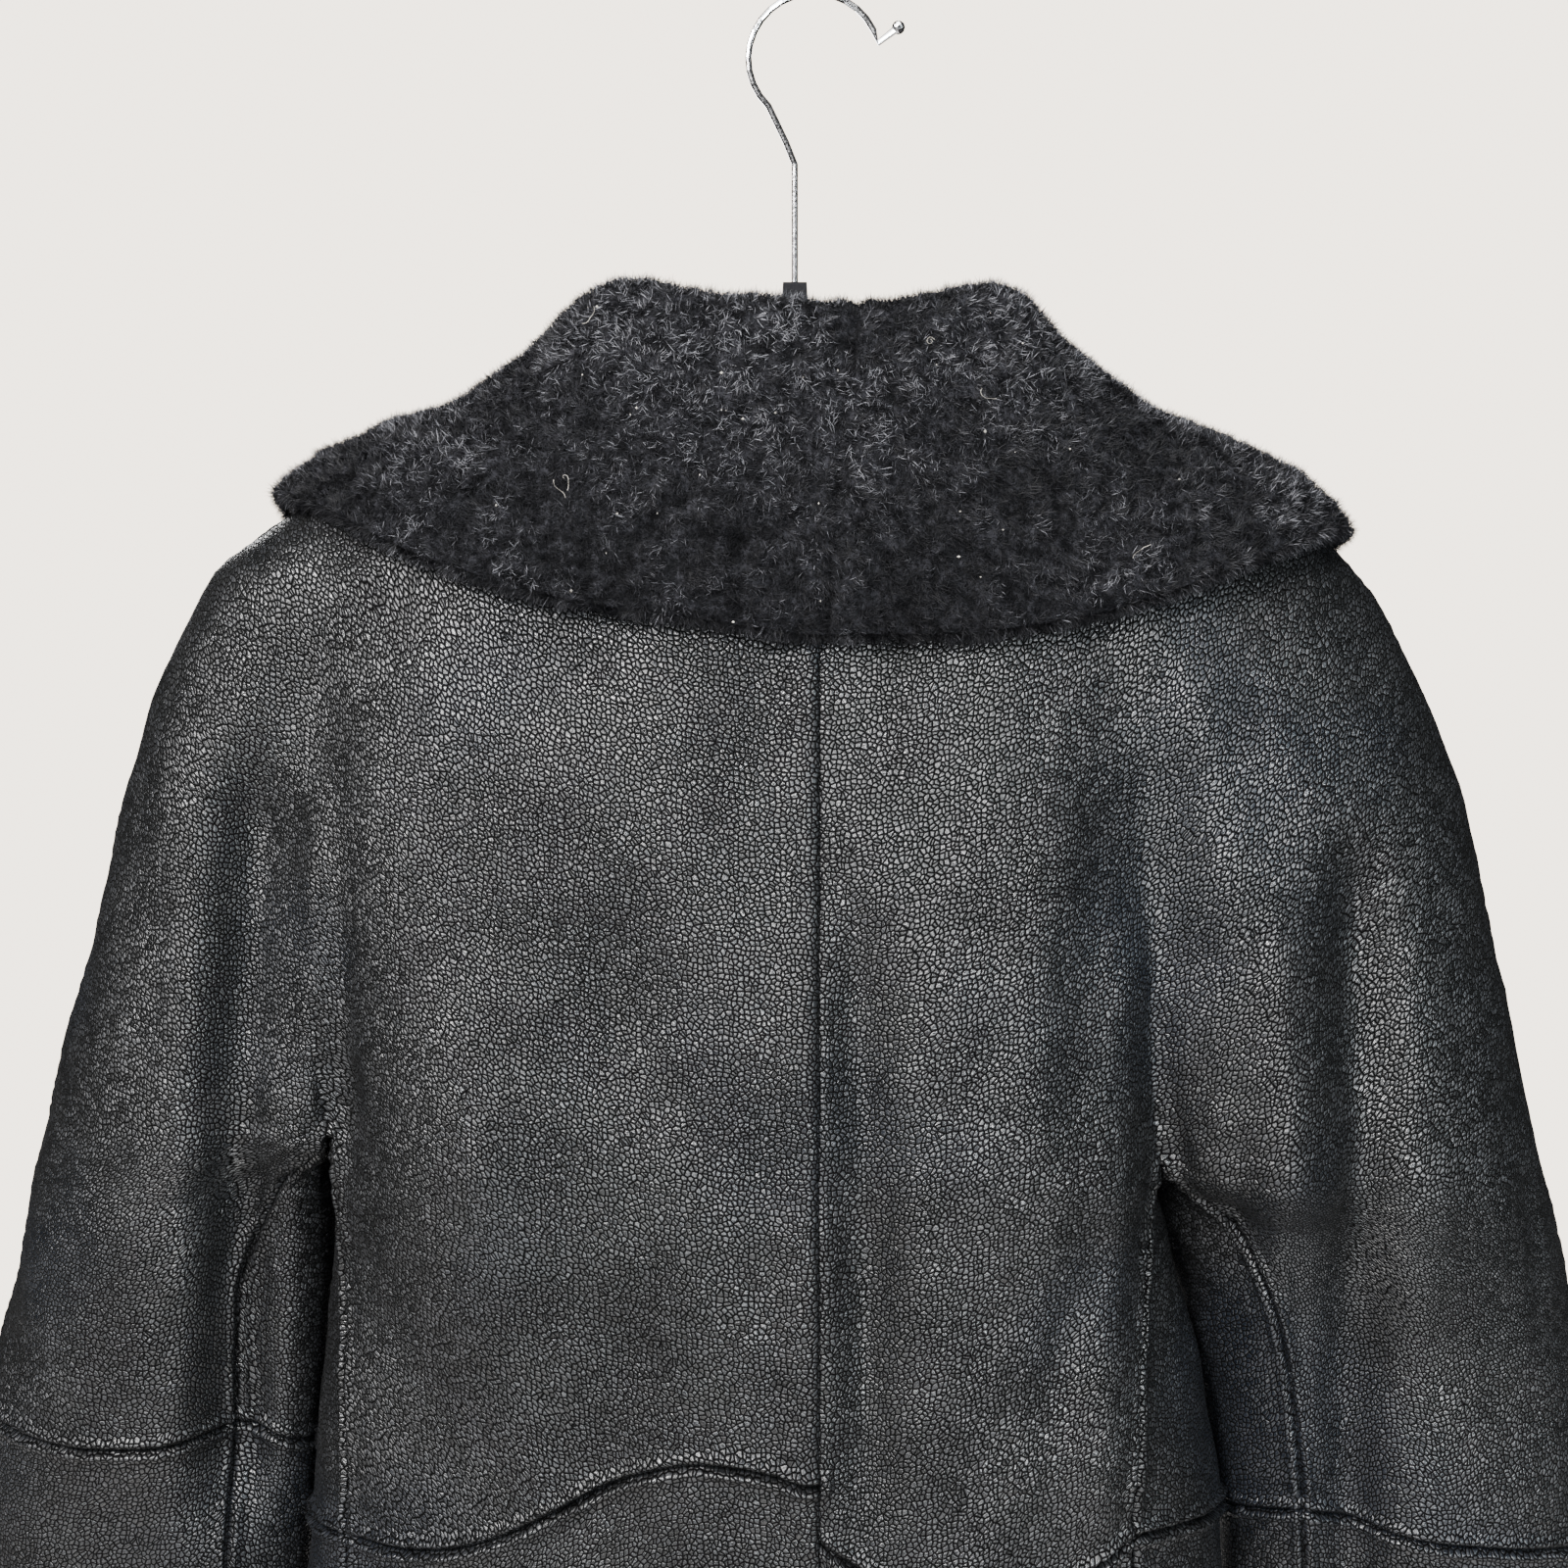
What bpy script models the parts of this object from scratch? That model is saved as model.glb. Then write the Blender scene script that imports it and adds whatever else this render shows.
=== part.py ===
# Shearling jacket on a hanger.
# The garment hangs from the hanger's hook: the origin is the hook's inside top, +Z is up,
# the jacket's back faces +Y and the wearer's left is +X.
# Tables and sizes are millimetres; MM turns them to metres when a mesh is made.

import math

import bpy
import numpy as np
from mathutils import Vector
from mathutils.bvhtree import BVHTree

MM = 0.001

# Driving sizes
GARMENT_X = 6.0          # centre back seam, to the wearer's left of the hook's inside top
BODY_WALL = 10.0         # nappa skin with its short wool
COLLAR_WALL = 15.0       # skin with the collar's longer wool
COLLAR_EDGE_WALL = 9.0   # the wool thins out at the collar's edge
SEAM_GAP = 0.3           # clear between two pieces at a seam
FRONT_EDGE = 3.0         # each front edge stands this far off the closing line
ROLL_RADIUS = 7.0        # inner radius of the collar's roll
STAND_LEAN = 0.12        # outward lean of the collar's stand

BODY_MID_Y = 5.0         # the body's widest section lies in this plane
BODY_SQUARE = 2.6        # exponent of the body's section: 2 is an ellipse
ARM_SQUARE = 2.3         # the same for a sleeve
ROW_RISE = 1.6           # how late a row climbs from the centre to the overarm seam
FRONT_DIP_SHARE = 0.68   # depth of the front's armpit fold beside the back's
FRONT_ARM_SHARE = 0.85   # depth of a sleeve's front half beside its back half
MITRE_LIMIT = 0.7        # keeps the inner wall from running away at a sharp seam
SHARPEST_CORNER = 0.12   # and a piece's corner from moving far off a sharp junction
FACING_SHARE = 0.4       # normals that point this far both ways mark the armpit's crease

# Columns of a panel: 0 is the centre, SPLIT is the armpit fold, COLUMNS is the overarm seam
SPLIT = 7
COLUMNS = 14
SIDE_COLUMNS = 4

# Rows: 0 is the neck seam, 7 the armpit, 10 the waist and elbow seams, 13 hem and cuffs
ARMPIT = 7.0
SEAM_ROW = 10.0
UPPER_ROWS = [0.5 * i for i in range(15)] + [7.35, 7.8, 8.4, 9.2, 10.0]
ARMPIT_ROWS = [7.0, 7.35, 7.8, 8.4, 9.2, 10.0]
LOWER_ROWS = [10.0, 10.7, 11.4, 12.2, 13.0]


def table(columns, rows):
    # A named column for each word, a value in it for each row
    return dict(zip(columns.split(), np.array(rows, dtype=float).T))


# The centre lines, the overarm seam's place in depth, and the drift of the closing line
CENTRE = table(
    "centre_z front_z back_y front_y over_y front_x", [
        (-200, -268, 52, 62, 8, 0),      # neck seam
        (-242, -292, 63, 64, 6, 1),
        (-285, -320, 74, 66, 4, 2),      # shoulder end
        (-330, -352, 82, 69, 2, 4),
        (-375, -390, 87, 71, 0, 7),
        (-425, -435, 90, 73, -1, 11),
        (-480, -483, 93, 74, -2, 15),
        (-530, -530, 95, 75, -3, 18),    # armpit
        (-575, -575, 94, 75, -4, 20),
        (-618, -620, 92, 74, -5, 20),
        (-661, -672, 90, 73, -6, 20),    # waist seam
        (-735, -740, 89, 72, -9, 20),
        (-808, -810, 88, 71, -12, 20),
        (-880, -880, 88, 70, -16, 20),   # hem
    ])

# Above the armpit: the overarm seam, the armpit fold's place and its depth
UPPER_COLUMNS = "over_x over_z fold_x dip"
UPPER = {
    "left": table(UPPER_COLUMNS, [
        (88, -195, 50, 0),
        (170, -214, 105, 0),
        (232, -241, 165, 1),
        (268, -268, 206, 6),
        (296, -320, 219, 15),
        (313, -378, 218, 22),
        (331, -447, 214, 29),
        (346, -512, 209, 36),
    ]),
    "right": table(UPPER_COLUMNS, [
        (88, -195, 44, 0),
        (166, -216, 88, 0),
        (226, -244, 125, 0),
        (257, -270, 142, 4),
        (284, -320, 148, 13),
        (305, -378, 149, 23),
        (323, -450, 152, 33),
        (343, -540, 157, 43),
    ]),
}

# Below the armpit: side seams, sleeve seams, the body's and the sleeve's extents
LOWER_COLUMNS = "over_x over_z side_x side_z body_x inner_x inner_z arm_x arm_y"
LOWER = {
    "left": table(LOWER_COLUMNS, [
        (357, -560, 204, -572, 213, 236, -548, 213.4, 60),
        (366, -603, 201, -628, 218, 254, -600, 216.8, 55),
        (376, -644, 200, -696, 224, 256, -655, 221.7, 51),
        (381, -715, 203, -752, 227, 258, -722, 226.7, 47),
        (379, -787, 205, -813, 229, 258, -790, 229.5, 43),
        (372, -858, 206, -876, 230, 255, -855, 231, 39),
    ]),
    "right": table(LOWER_COLUMNS, [
        (353, -592, 151, -580, 170, 189, -560, 166.9, 61),
        (361, -645, 146, -632, 184, 214, -618, 181.5, 56),
        (369, -705, 143, -690, 192, 224, -690, 193.3, 52),
        (367, -755, 146, -750, 194, 226, -745, 195.1, 48),
        (361, -806, 148, -812, 195, 226, -800, 196.1, 44),
        (352, -858, 150, -876, 196, 223, -855, 197, 40),
    ]),
}

# The waist seam's swing on the back: drop at the centre, wave, half waves to the side seam
WAIST_WAVE = {"left": (0, 11, 2), "right": (-21, -34, 1)}
# The elbow seam's sag on a sleeve's back and under panels
ELBOW_SAG = {"left": -11, "right": -6}

# Largest folds on the back: ends on the back's face, width, and height (a trough is minus)
FOLDS = table(
    "top_x top_z low_x low_z width height", [
        (262, -335, 262, -690, 15, -9),      # left sleeve, behind the elbow
        (-216, -380, -246, -700, 17, -9),    # right sleeve
        (150, -420, 138, -650, 34, 5),       # left shoulder blade
        (-92, -360, -60, -560, 30, 4),       # right shoulder blade
        (-112, -560, -76, -700, 26, 5),      # above the right waist
        (-30, -430, -44, -650, 24, -3),
        (70, -560, 96, -740, 26, -4),
        (310, -660, 300, -840, 20, -5),      # left forearm
        (-300, -690, -290, -840, 20, -5),    # right forearm
    ])
FOLD_FADE = 60.0         # a fold dies out over this length at each end
FOLD_BACK_START = 12.0   # folds start behind this depth and are whole 25 mm further
FOLD_BACK_SPAN = 25.0

# The collar: share of the neck seam's length, stand, lift off the body, and the outer edge
COLLAR_COLUMNS = "share stand lift edge_x edge_y edge_z"
COLLAR = {
    "left": table(COLLAR_COLUMNS, [
        (0.000, 32, 3, 0, 80, -302),
        (0.120, 33, 3, 60, 80, -293),
        (0.190, 34, 3, 97, 77, -288),
        (0.240, 35, 3, 125, 73, -281),
        (0.290, 34, 3, 153, 67, -272),
        (0.340, 31, 4, 184, 56, -259),
        (0.385, 26, 5, 214, 37, -244),
        (0.430, 21, 7, 238, 6, -236),
        (0.470, 20, 9, 238, -20, -247),
        (0.530, 18, 6, 228, -46, -276),
        (0.670, 16, 3, 196, -68, -335),
        (0.830, 13, 3, 164, -78, -382),
        (1.000, 10, 3, 132, -84, -420),
    ]),
    "right": table(COLLAR_COLUMNS, [
        (0.000, 32, 3, 0, 80, -302),
        (0.120, 33, 3, 62, 80, -302),
        (0.190, 34, 3, 99, 78, -298),
        (0.240, 35, 3, 128, 74, -292),
        (0.290, 34, 3, 158, 67, -283),
        (0.340, 31, 4, 192, 55, -271),
        (0.385, 26, 5, 224, 37, -259),
        (0.430, 21, 7, 250, 6, -250),
        (0.470, 20, 9, 247, -20, -258),
        (0.530, 18, 6, 234, -46, -284),
        (0.670, 16, 3, 198, -68, -337),
        (0.830, 13, 3, 164, -78, -382),
        (1.000, 10, 3, 132, -84, -420),
    ]),
}
ROLL_ANGLES = (180, 140, 100, 60, 20)      # degrees round the roll, from stand to fall
FALL_STEPS = 5
FALL_SAG = 7.0           # the fall hangs this much below a straight line, halfway

# Hanger
ARM_END_X = 212.0        # the arms reach this far to each side of the neck
ARM_CLEAR = 0.8          # below the shoulder's inner wall
ARM_DROP = 22.0          # first place of the arm's top under the shoulder seam
ARM_NECK_X = 110.0       # within this the arm drops clear of the neck seam
ARM_NECK_TOP_Z = -216.0
ARM_RISE_X = 60.0        # and from here it rises to the neck block
ARM_NECK_RISE = 40.0
ARM_HALF_Y = 7.0
ARM_HIGH = 24.0
ARM_SIDES = 12
ARM_RINGS = 25
NUB_TOP_Z = -133.8       # top of the hanger's neck, where the wire enters
NUB_LOW_Z = -190.0
NUB_HALF_X = (5.5, 9.0)  # the neck widens downwards
NUB_HALF_Y = 6.0
WIRE_RADIUS = 1.5
HOOK_RADIUS = 30.5       # centre line of the hook's bend
HOOK_STEM_X = 9.0
TIP_RADIUS = 3.1
HOOK_TIP = (-39.0, -14.5)
HOOK_NECK = (13.0, -68.0)
STEM_TOP_Z = -78.0
WIRE_SIDES = 10


def smooth(knots, values, at):
    # Cubic through the values with slopes that never overshoot them
    count = len(knots)
    step = np.diff(knots)
    slope = np.diff(values) / step
    tangent = np.zeros(count)
    tangent[0], tangent[-1] = slope[0], slope[-1]
    for i in range(1, count - 1):
        if slope[i - 1] * slope[i] > 0:
            tangent[i] = 2 * slope[i - 1] * slope[i] / (slope[i - 1] + slope[i])
    i = int(np.clip(np.searchsorted(knots, at) - 1, 0, count - 2))
    t = (at - knots[i]) / step[i]
    a, b, c = 2 * t**3 - 3 * t**2 + 1, t**3 - 2 * t**2 + t, -2 * t**3 + 3 * t**2
    d = t**3 - t**2
    return float(a * values[i] + b * step[i] * tangent[i] + c * values[i + 1]
                 + d * step[i] * tangent[i + 1])


def ease(t):
    t = min(1.0, max(0.0, t))
    return t * t * (3 - 2 * t)


def climb(x, over_x):
    return (abs(x) / over_x) ** ROW_RISE


def side_table(side):
    # One table from neck to hem for a side; above the armpit the seams share the fold
    up, low = UPPER[side], LOWER[side]
    rise = climb(up["fold_x"], up["over_x"])
    fold_z = CENTRE["centre_z"][:8] * (1 - rise) + up["over_z"] * rise
    both = {"over_x": (up["over_x"], low["over_x"]), "over_z": (up["over_z"], low["over_z"]),
            "side_x": (up["fold_x"], low["side_x"]), "inner_x": (up["fold_x"], low["inner_x"]),
            "side_z": (fold_z, low["side_z"]), "inner_z": (fold_z, low["inner_z"]),
            "body_x": (up["fold_x"] + 2, low["body_x"]), "arm_x": (up["fold_x"] + 2, low["arm_x"]),
            "dip": (up["dip"], np.full(6, up["dip"][-1])),
            "fold_x": (up["fold_x"], (low["side_x"] + low["inner_x"]) / 2),
            "arm_y": (np.full(8, low["arm_y"][0]), low["arm_y"])}
    whole = {name: np.concatenate(pair) for name, pair in both.items()}
    whole.update(CENTRE)
    return whole


SIDES = {side: side_table(side) for side in ("left", "right")}
ROW_KNOTS = np.arange(14.0)
SIGN = {"left": 1.0, "right": -1.0}


def row_sizes(side, row):
    size = {name: smooth(ROW_KNOTS, values, row) for name, values in SIDES[side].items()}
    if row <= ARMPIT:
        size["side_x"] = size["inner_x"] = size["fold_x"]
    return size


def arch(x, half, square):
    # Height of a rounded section over its half width, 1 in the middle and 0 at the end
    return math.sqrt(max(0.0, 1 - (abs(x) / half) ** square))


def fold_depth(row, distance):
    # The armpit fold is soft at the shoulder and sharp at the armpit
    power = 2 - 0.8 * min(1.0, max(0.0, (row - 3) / 4))
    return math.exp(-(abs(distance) / 40.0) ** power)


def above_depth(size, face, row, x, fold_x):
    # The cut-in-one body and sleeve: one arch from centre to overarm seam, less the armpit fold
    out = 1 if face == "back" else -1
    reach = size["back_y"] - size["over_y"] if face == "back" else size["front_y"] + size["over_y"]
    dip = size["dip"] * (1 if face == "back" else FRONT_DIP_SHARE)
    past = max(0.0, (x - fold_x) / (size["over_x"] - fold_x))
    dip *= fold_depth(row, x - fold_x) * (1 - past**2)
    return size["over_y"] + out * (reach * arch(x, size["over_x"], BODY_SQUARE) - dip)


def below_armpit(row):
    return ease((row - ARMPIT) / 2)


def body_depth(size, face, row, x):
    out = 1 if face == "back" else -1
    above = above_depth(size, face, row, x, size["side_x"])
    reach = size["back_y"] - BODY_MID_Y if face == "back" else size["front_y"] + BODY_MID_Y
    below = BODY_MID_Y + out * reach * arch(x, size["body_x"], BODY_SQUARE)
    mix = below_armpit(row)
    return above * (1 - mix) + below * mix


def arm_reach(size, face):
    return size["arm_y"] * (1 if face == "back" else FRONT_ARM_SHARE)


def arm_depth(size, face, row, x):
    out = 1 if face == "back" else -1
    above = above_depth(size, face, row, x, size["inner_x"])
    middle = (size["over_x"] + size["arm_x"]) / 2
    half = (size["over_x"] - size["arm_x"]) / 2
    below = size["over_y"] + out * arm_reach(size, face) * arch(x - middle, half, ARM_SQUARE)
    mix = below_armpit(row)
    return above * (1 - mix) + below * mix


def near_seam_row(row):
    # 1 at the waist and elbow seams, 0 two rows away
    return ease(1 - abs(row - SEAM_ROW) / 2)


def body_point(side, face, row, column):
    size = row_sizes(side, row)
    start = 0.0 if face == "back" else SIGN[side] * size["front_x"] + FRONT_EDGE
    share = column / SPLIT
    x = start + (size["side_x"] - start) * share
    middle_z = size["centre_z"] if face == "back" else size["front_z"]
    if row <= ARMPIT:
        z = middle_z + (size["over_z"] - middle_z) * climb(x, size["over_x"])
    else:
        z = middle_z + (size["side_z"] - middle_z) * climb(x, size["side_x"])
    if face == "back":
        drop, wave, halves = WAIST_WAVE[side]
        swing = drop * (1 - share) + wave * math.sin(math.pi * halves * share)
        z += swing * near_seam_row(row)
    return place(side, x, body_depth(size, face, row, x), z)


def arm_point(side, face, row, column):
    size = row_sizes(side, row)
    share = (column - SPLIT) / (COLUMNS - SPLIT)
    spread = math.sin(math.pi / 2 * share) / 2 + (1 - math.cos(math.pi * share)) / 4
    x = size["inner_x"] + (size["over_x"] - size["inner_x"]) * spread
    if row <= ARMPIT:
        middle_z = size["centre_z"] if face == "back" else size["front_z"]
        z = middle_z + (size["over_z"] - middle_z) * climb(x, size["over_x"])
    else:
        low = climb(size["inner_x"], size["over_x"])
        z = size["inner_z"] + (size["over_z"] - size["inner_z"]) * (
            (climb(x, size["over_x"]) - low) / (1 - low))
    z += ELBOW_SAG[side] * math.sin(math.pi * share) * near_seam_row(row)
    return place(side, x, arm_depth(size, face, row, x), z)


def ring_point(size, row, share, parts):
    # A panel that closes a ring between a back seam (share 1) and a front seam (share -1)
    face = "back" if share > 0 else "front"
    seam_y, other = [above_depth(size, which, row, parts["seam_x"], parts["seam_x"])
                     for which in (face, "front" if face == "back" else "back")]
    flat_x = parts["end_x"] + (parts["seam_x"] - parts["end_x"]) * abs(share) ** 4
    flat_y = (seam_y + other) / 2 + (seam_y - other) / 2 * abs(share)
    turn = math.acos(min(1.0, parts["seam_share"] ** (parts["square"] / 2))) * share
    round_x = parts["middle_x"] + parts["half"] * math.cos(turn) ** (2 / parts["square"])
    round_y = parts["middle_y"] + parts["reach"][face] * math.sin(turn)
    mix = below_armpit(row)
    return flat_x * (1 - mix) + round_x * mix, flat_y * (1 - mix) + round_y * mix


def side_point(side, row, column):
    size = row_sizes(side, row)
    parts = {"seam_x": size["side_x"], "end_x": size["body_x"],
             "middle_x": 0.0, "half": size["body_x"], "middle_y": BODY_MID_Y,
             "seam_share": size["side_x"] / size["body_x"], "square": BODY_SQUARE,
             "reach": {"back": size["back_y"] - BODY_MID_Y, "front": size["front_y"] + BODY_MID_Y}}
    x, y = ring_point(size, row, 1 - 2 * column / SIDE_COLUMNS, parts)
    return place(side, x, y, size["side_z"])


def under_point(side, row, column):
    size = row_sizes(side, row)
    middle = (size["over_x"] + size["arm_x"]) / 2
    half = (size["over_x"] - size["arm_x"]) / 2
    parts = {"seam_x": size["inner_x"], "end_x": size["arm_x"],
             "middle_x": middle, "half": -half, "middle_y": size["over_y"],
             "seam_share": min(1.0, (middle - size["inner_x"]) / half), "square": ARM_SQUARE,
             "reach": {face: arm_reach(size, face) for face in ("back", "front")}}
    share = 1 - 2 * column / SIDE_COLUMNS
    x, y = ring_point(size, row, share, parts)
    z = size["inner_z"] + ELBOW_SAG[side] * (1 - share**2) * near_seam_row(row)
    return place(side, x, y, z)


def fold_shift(x, y, z):
    # The folds move the back's face in or out; the front stays plain
    shift = 0.0
    for top_x, top_z, low_x, low_z, width, height in zip(*FOLDS.values()):
        along = np.array([low_x - top_x, low_z - top_z])
        length = np.linalg.norm(along)
        along /= length
        run = np.dot([x - top_x, z - top_z], along)
        off = (x - top_x) * along[1] - (z - top_z) * along[0]
        fade = ease(run / FOLD_FADE) * ease((length - run) / FOLD_FADE)
        shift += height * fade * math.exp(-(off / width) ** 2)
    return shift * ease((y - FOLD_BACK_START) / FOLD_BACK_SPAN)


def place(side, x, y, z):
    x *= SIGN[side]
    return np.array([x, y + fold_shift(x, y, z), z])


def grid(point, rows, columns):
    return np.array([[point(row, column) for column in columns] for row in rows])


class Panel:
    # One cut piece: its skin side as points and faces, and its wall's thickness at each point
    def __init__(self, name, patches, wall, flip):
        self.name = name
        self.points, self.faces, walls = [], [], []
        found = {}
        for patch in patches:
            rows, columns = patch.shape[:2]
            index = np.zeros((rows, columns), dtype=int)
            for i in range(rows):
                for j in range(columns):
                    key = tuple(np.round(patch[i, j], 3))
                    if key not in found:
                        found[key] = len(self.points)
                        self.points.append(patch[i, j])
                        walls.append(wall[i] if np.ndim(wall) else wall)
                    index[i, j] = found[key]
            for i in range(rows - 1):
                for j in range(columns - 1):
                    corners = [index[i, j], index[i, j + 1], index[i + 1, j + 1], index[i + 1, j]]
                    corners = [k for n, k in enumerate(corners) if k != corners[n - 1]]
                    self.faces.append(corners[::-1] if flip else corners)
        self.points = np.array(self.points)
        self.wall = np.array(walls, dtype=float)


def face_normal(points, face):
    a, b = points[face[2]] - points[face[0]], points[face[-1]] - points[face[1]]
    return np.cross(a, b)


def shared_normals(panels):
    # Pieces that meet at a seam use one direction there, so their walls meet face to face
    around = {}
    for panel in panels:
        for face in panel.faces:
            normal = face_normal(panel.points, face)
            normal /= np.linalg.norm(normal)
            middle = panel.points[face].mean(0)
            for k in face:
                key = tuple(np.round(panel.points[k], 2))
                around.setdefault(key, []).append((normal, middle - panel.points[k]))
    seams = {}
    for key, uses in around.items():
        units = [normal for normal, _ in uses]
        total = sum(units)
        sideways = [unit[0] for unit in units]
        if min(sideways) < -FACING_SHARE and max(sideways) > FACING_SHARE:
            # The armpit's crease: its walls face each other and part past it
            if np.linalg.norm(total) < FACING_SHARE * len(units):
                total = sum(toward for _, toward in uses)
            total = total * np.array([0, 1, 1])
            seams[key] = total / np.linalg.norm(total), 1.0
            continue
        if abs(key[0]) < 0.005:
            total = total * np.array([0, 1, 1])
        direction = total / np.linalg.norm(total)
        steepest = min(float(np.dot(direction, unit)) for unit in units)
        seams[key] = direction, 1 / max(MITRE_LIMIT, steepest)
    return seams


def seam_shift(panel, outer, inner, normals):
    # Moves each border point into its own piece, square to the rim, by half the gap
    count = {}
    for f, face in enumerate(panel.faces):
        for n, a in enumerate(face):
            b = face[(n + 1) % len(face)]
            count.setdefault((min(a, b), max(a, b)), []).append((a, b, f))
    rims, sideways = [], {}
    for uses in count.values():
        if len(uses) > 1:
            continue
        a, b, f = uses[0]
        rims.append((a, b))
        across = np.cross(outer[b] - outer[a], normals[a] + normals[b])
        across /= np.linalg.norm(across)
        face = panel.faces[f]
        centre = (outer[face].mean(0) + inner[face].mean(0)) / 2
        rim_centre = (outer[a] + outer[b] + inner[a] + inner[b]) / 4
        if np.dot(across, centre - rim_centre) < 0:
            across = -across
        for k in (a, b):
            sideways.setdefault(k, []).append(across)
    shift = np.zeros_like(outer)
    for k, pair in sideways.items():
        total = sum(pair)
        spread = 1 + float(np.dot(pair[0], pair[-1]))
        shift[k] = SEAM_GAP / 2 * total / max(SHARPEST_CORNER, spread)
    return rims, shift


def wall_mesh(panel, seams):
    keys = [tuple(np.round(p, 2)) for p in panel.points]
    normals = np.array([seams[key][0] for key in keys])
    mitres = np.array([seams[key][1] for key in keys])
    outer = panel.points
    inner = outer - normals * (panel.wall * mitres)[:, None]
    rims, shift = seam_shift(panel, outer, inner, normals)
    points = np.concatenate([outer + shift, inner + shift])
    half = len(outer)
    faces = [list(face) for face in panel.faces]
    faces += [[k + half for k in reversed(face)] for face in panel.faces]
    # Both pieces at a seam split its faces along the same diagonals, chosen so that none
    # cuts through a wall at the ends of the armpit's crease
    rank = [(normals[i][0] != 0, abs(y), x, z) for i, (x, y, z) in enumerate(keys)]
    for a, b in rims:
        if rank[a] < rank[b]:
            faces += [[b, a, b + half], [a, a + half, b + half]]
        else:
            faces += [[b, a, a + half], [b, a + half, b + half]]
    return points, faces


def collar_rim(side):
    # The neck seam's points from centre back over the shoulder to the front edge
    back = [body_point(side, "back", 0, c) for c in range(SPLIT)]
    back += [arm_point(side, "back", 0, c) for c in range(SPLIT, COLUMNS + 1)]
    front = [arm_point(side, "front", 0, c) for c in range(COLUMNS - 1, SPLIT - 1, -1)]
    front += [body_point(side, "front", 0, c) for c in range(SPLIT - 1, -1, -1)]
    return np.array(back + front)


def seat(point, body, lift, pull):
    # Keeps a point off the body's skin; with pull it also brings a far point down to it
    near, normal, _, _ = body.find_nearest(Vector(point))
    near, normal = np.array(near), np.array(normal)
    height = float(np.dot(point - near, normal))
    if height < lift or pull:
        return near + normal * lift
    return point


def collar_panel(side, body):
    neck = collar_rim(side)
    run = np.concatenate([[0], np.cumsum(np.linalg.norm(np.diff(neck, axis=0), axis=1))])
    run /= run[-1]
    sizes = COLLAR[side]
    lines = []
    for share, start, tangent in zip(run, neck, np.gradient(neck, axis=0)):
        size = {name: smooth(sizes["share"], values, share) for name, values in sizes.items()}
        edge = np.array([SIGN[side] * size["edge_x"], size["edge_y"], size["edge_z"]])
        edge = seat(edge, body, size["lift"], True)
        away = SIGN[side] * np.array([-tangent[1], tangent[0], 0])
        away /= np.linalg.norm(away)
        toward = (edge - start) * np.array([1, 1, 0])
        toward /= np.linalg.norm(toward)
        away = away + toward
        away /= np.linalg.norm(away)
        up = np.array([0, 0, 1.0]) + STAND_LEAN * away
        top = start + up * size["stand"] + away * ROLL_RADIUS
        line = [start, start + up * size["stand"] * 0.5]
        for degrees in ROLL_ANGLES:
            turn = math.radians(degrees)
            line.append(top + ROLL_RADIUS * (math.cos(turn) * away
                                             + math.sin(turn) * np.array([0, 0, 1.0])))
        fall = line[-1]
        for step in range(1, FALL_STEPS):
            t = step / FALL_STEPS
            point = fall * (1 - t) + edge * t
            point[2] -= FALL_SAG * math.sin(math.pi * t) * abs(away[0])
            line.append(seat(point, body, size["lift"], False))
        line.append(edge)
        if share == 0:
            line = [p * np.array([0, 1, 1]) for p in line]
        lines.append(line)
    patch = np.array(lines).transpose(1, 0, 2)
    wall = np.full(patch.shape[0], COLLAR_WALL)
    wall[0] = BODY_WALL
    wall[-2] = (COLLAR_WALL * 2 + COLLAR_EDGE_WALL) / 3
    wall[-1] = COLLAR_EDGE_WALL
    return Panel("collar_" + side, [patch], wall, side == "left")


def body_panels(side):
    # Every cut piece of the body and sleeve on one side
    mirrored = side == "right"
    body_columns = range(SPLIT + 1)
    arm_columns = range(SPLIT, COLUMNS + 1)
    ring_columns = range(SIDE_COLUMNS + 1)
    panels = []
    for face in ("back", "front"):
        flip = mirrored if face == "back" else not mirrored

        def on_body(row, column, face=face):
            return body_point(side, face, row, column)

        def on_arm(row, column, face=face):
            return arm_point(side, face, row, column)

        panels.append(Panel(face + "_" + side, [grid(on_body, UPPER_ROWS, body_columns),
                                                grid(on_arm, UPPER_ROWS, arm_columns)],
                            BODY_WALL, flip))
        panels.append(Panel("lower_" + face + "_" + side,
                            [grid(on_body, LOWER_ROWS, body_columns)], BODY_WALL, flip))
        panels.append(Panel("forearm_" + face + "_" + side,
                            [grid(on_arm, LOWER_ROWS, arm_columns)], BODY_WALL, flip))

    def on_side(row, column):
        return side_point(side, row, column)

    def on_under(row, column):
        return under_point(side, row, column)

    panels.append(Panel("side_" + side, [grid(on_side, ARMPIT_ROWS, ring_columns)],
                        BODY_WALL, mirrored))
    panels.append(Panel("lower_side_" + side, [grid(on_side, LOWER_ROWS, ring_columns)],
                        BODY_WALL, mirrored))
    panels.append(Panel("undersleeve_" + side, [grid(on_under, ARMPIT_ROWS, ring_columns)],
                        BODY_WALL, not mirrored))
    panels.append(Panel("forearm_under_" + side, [grid(on_under, LOWER_ROWS, ring_columns)],
                        BODY_WALL, not mirrored))
    return panels


def surface_tree(surfaces):
    # Search tree over the points and faces of several surfaces
    points, faces = [], []
    for surface_points, surface_faces in surfaces:
        start = len(points)
        points += [Vector(p) for p in surface_points]
        faces += [[k + start for k in face] for face in surface_faces]
    return BVHTree.FromPolygons(points, faces)


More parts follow.
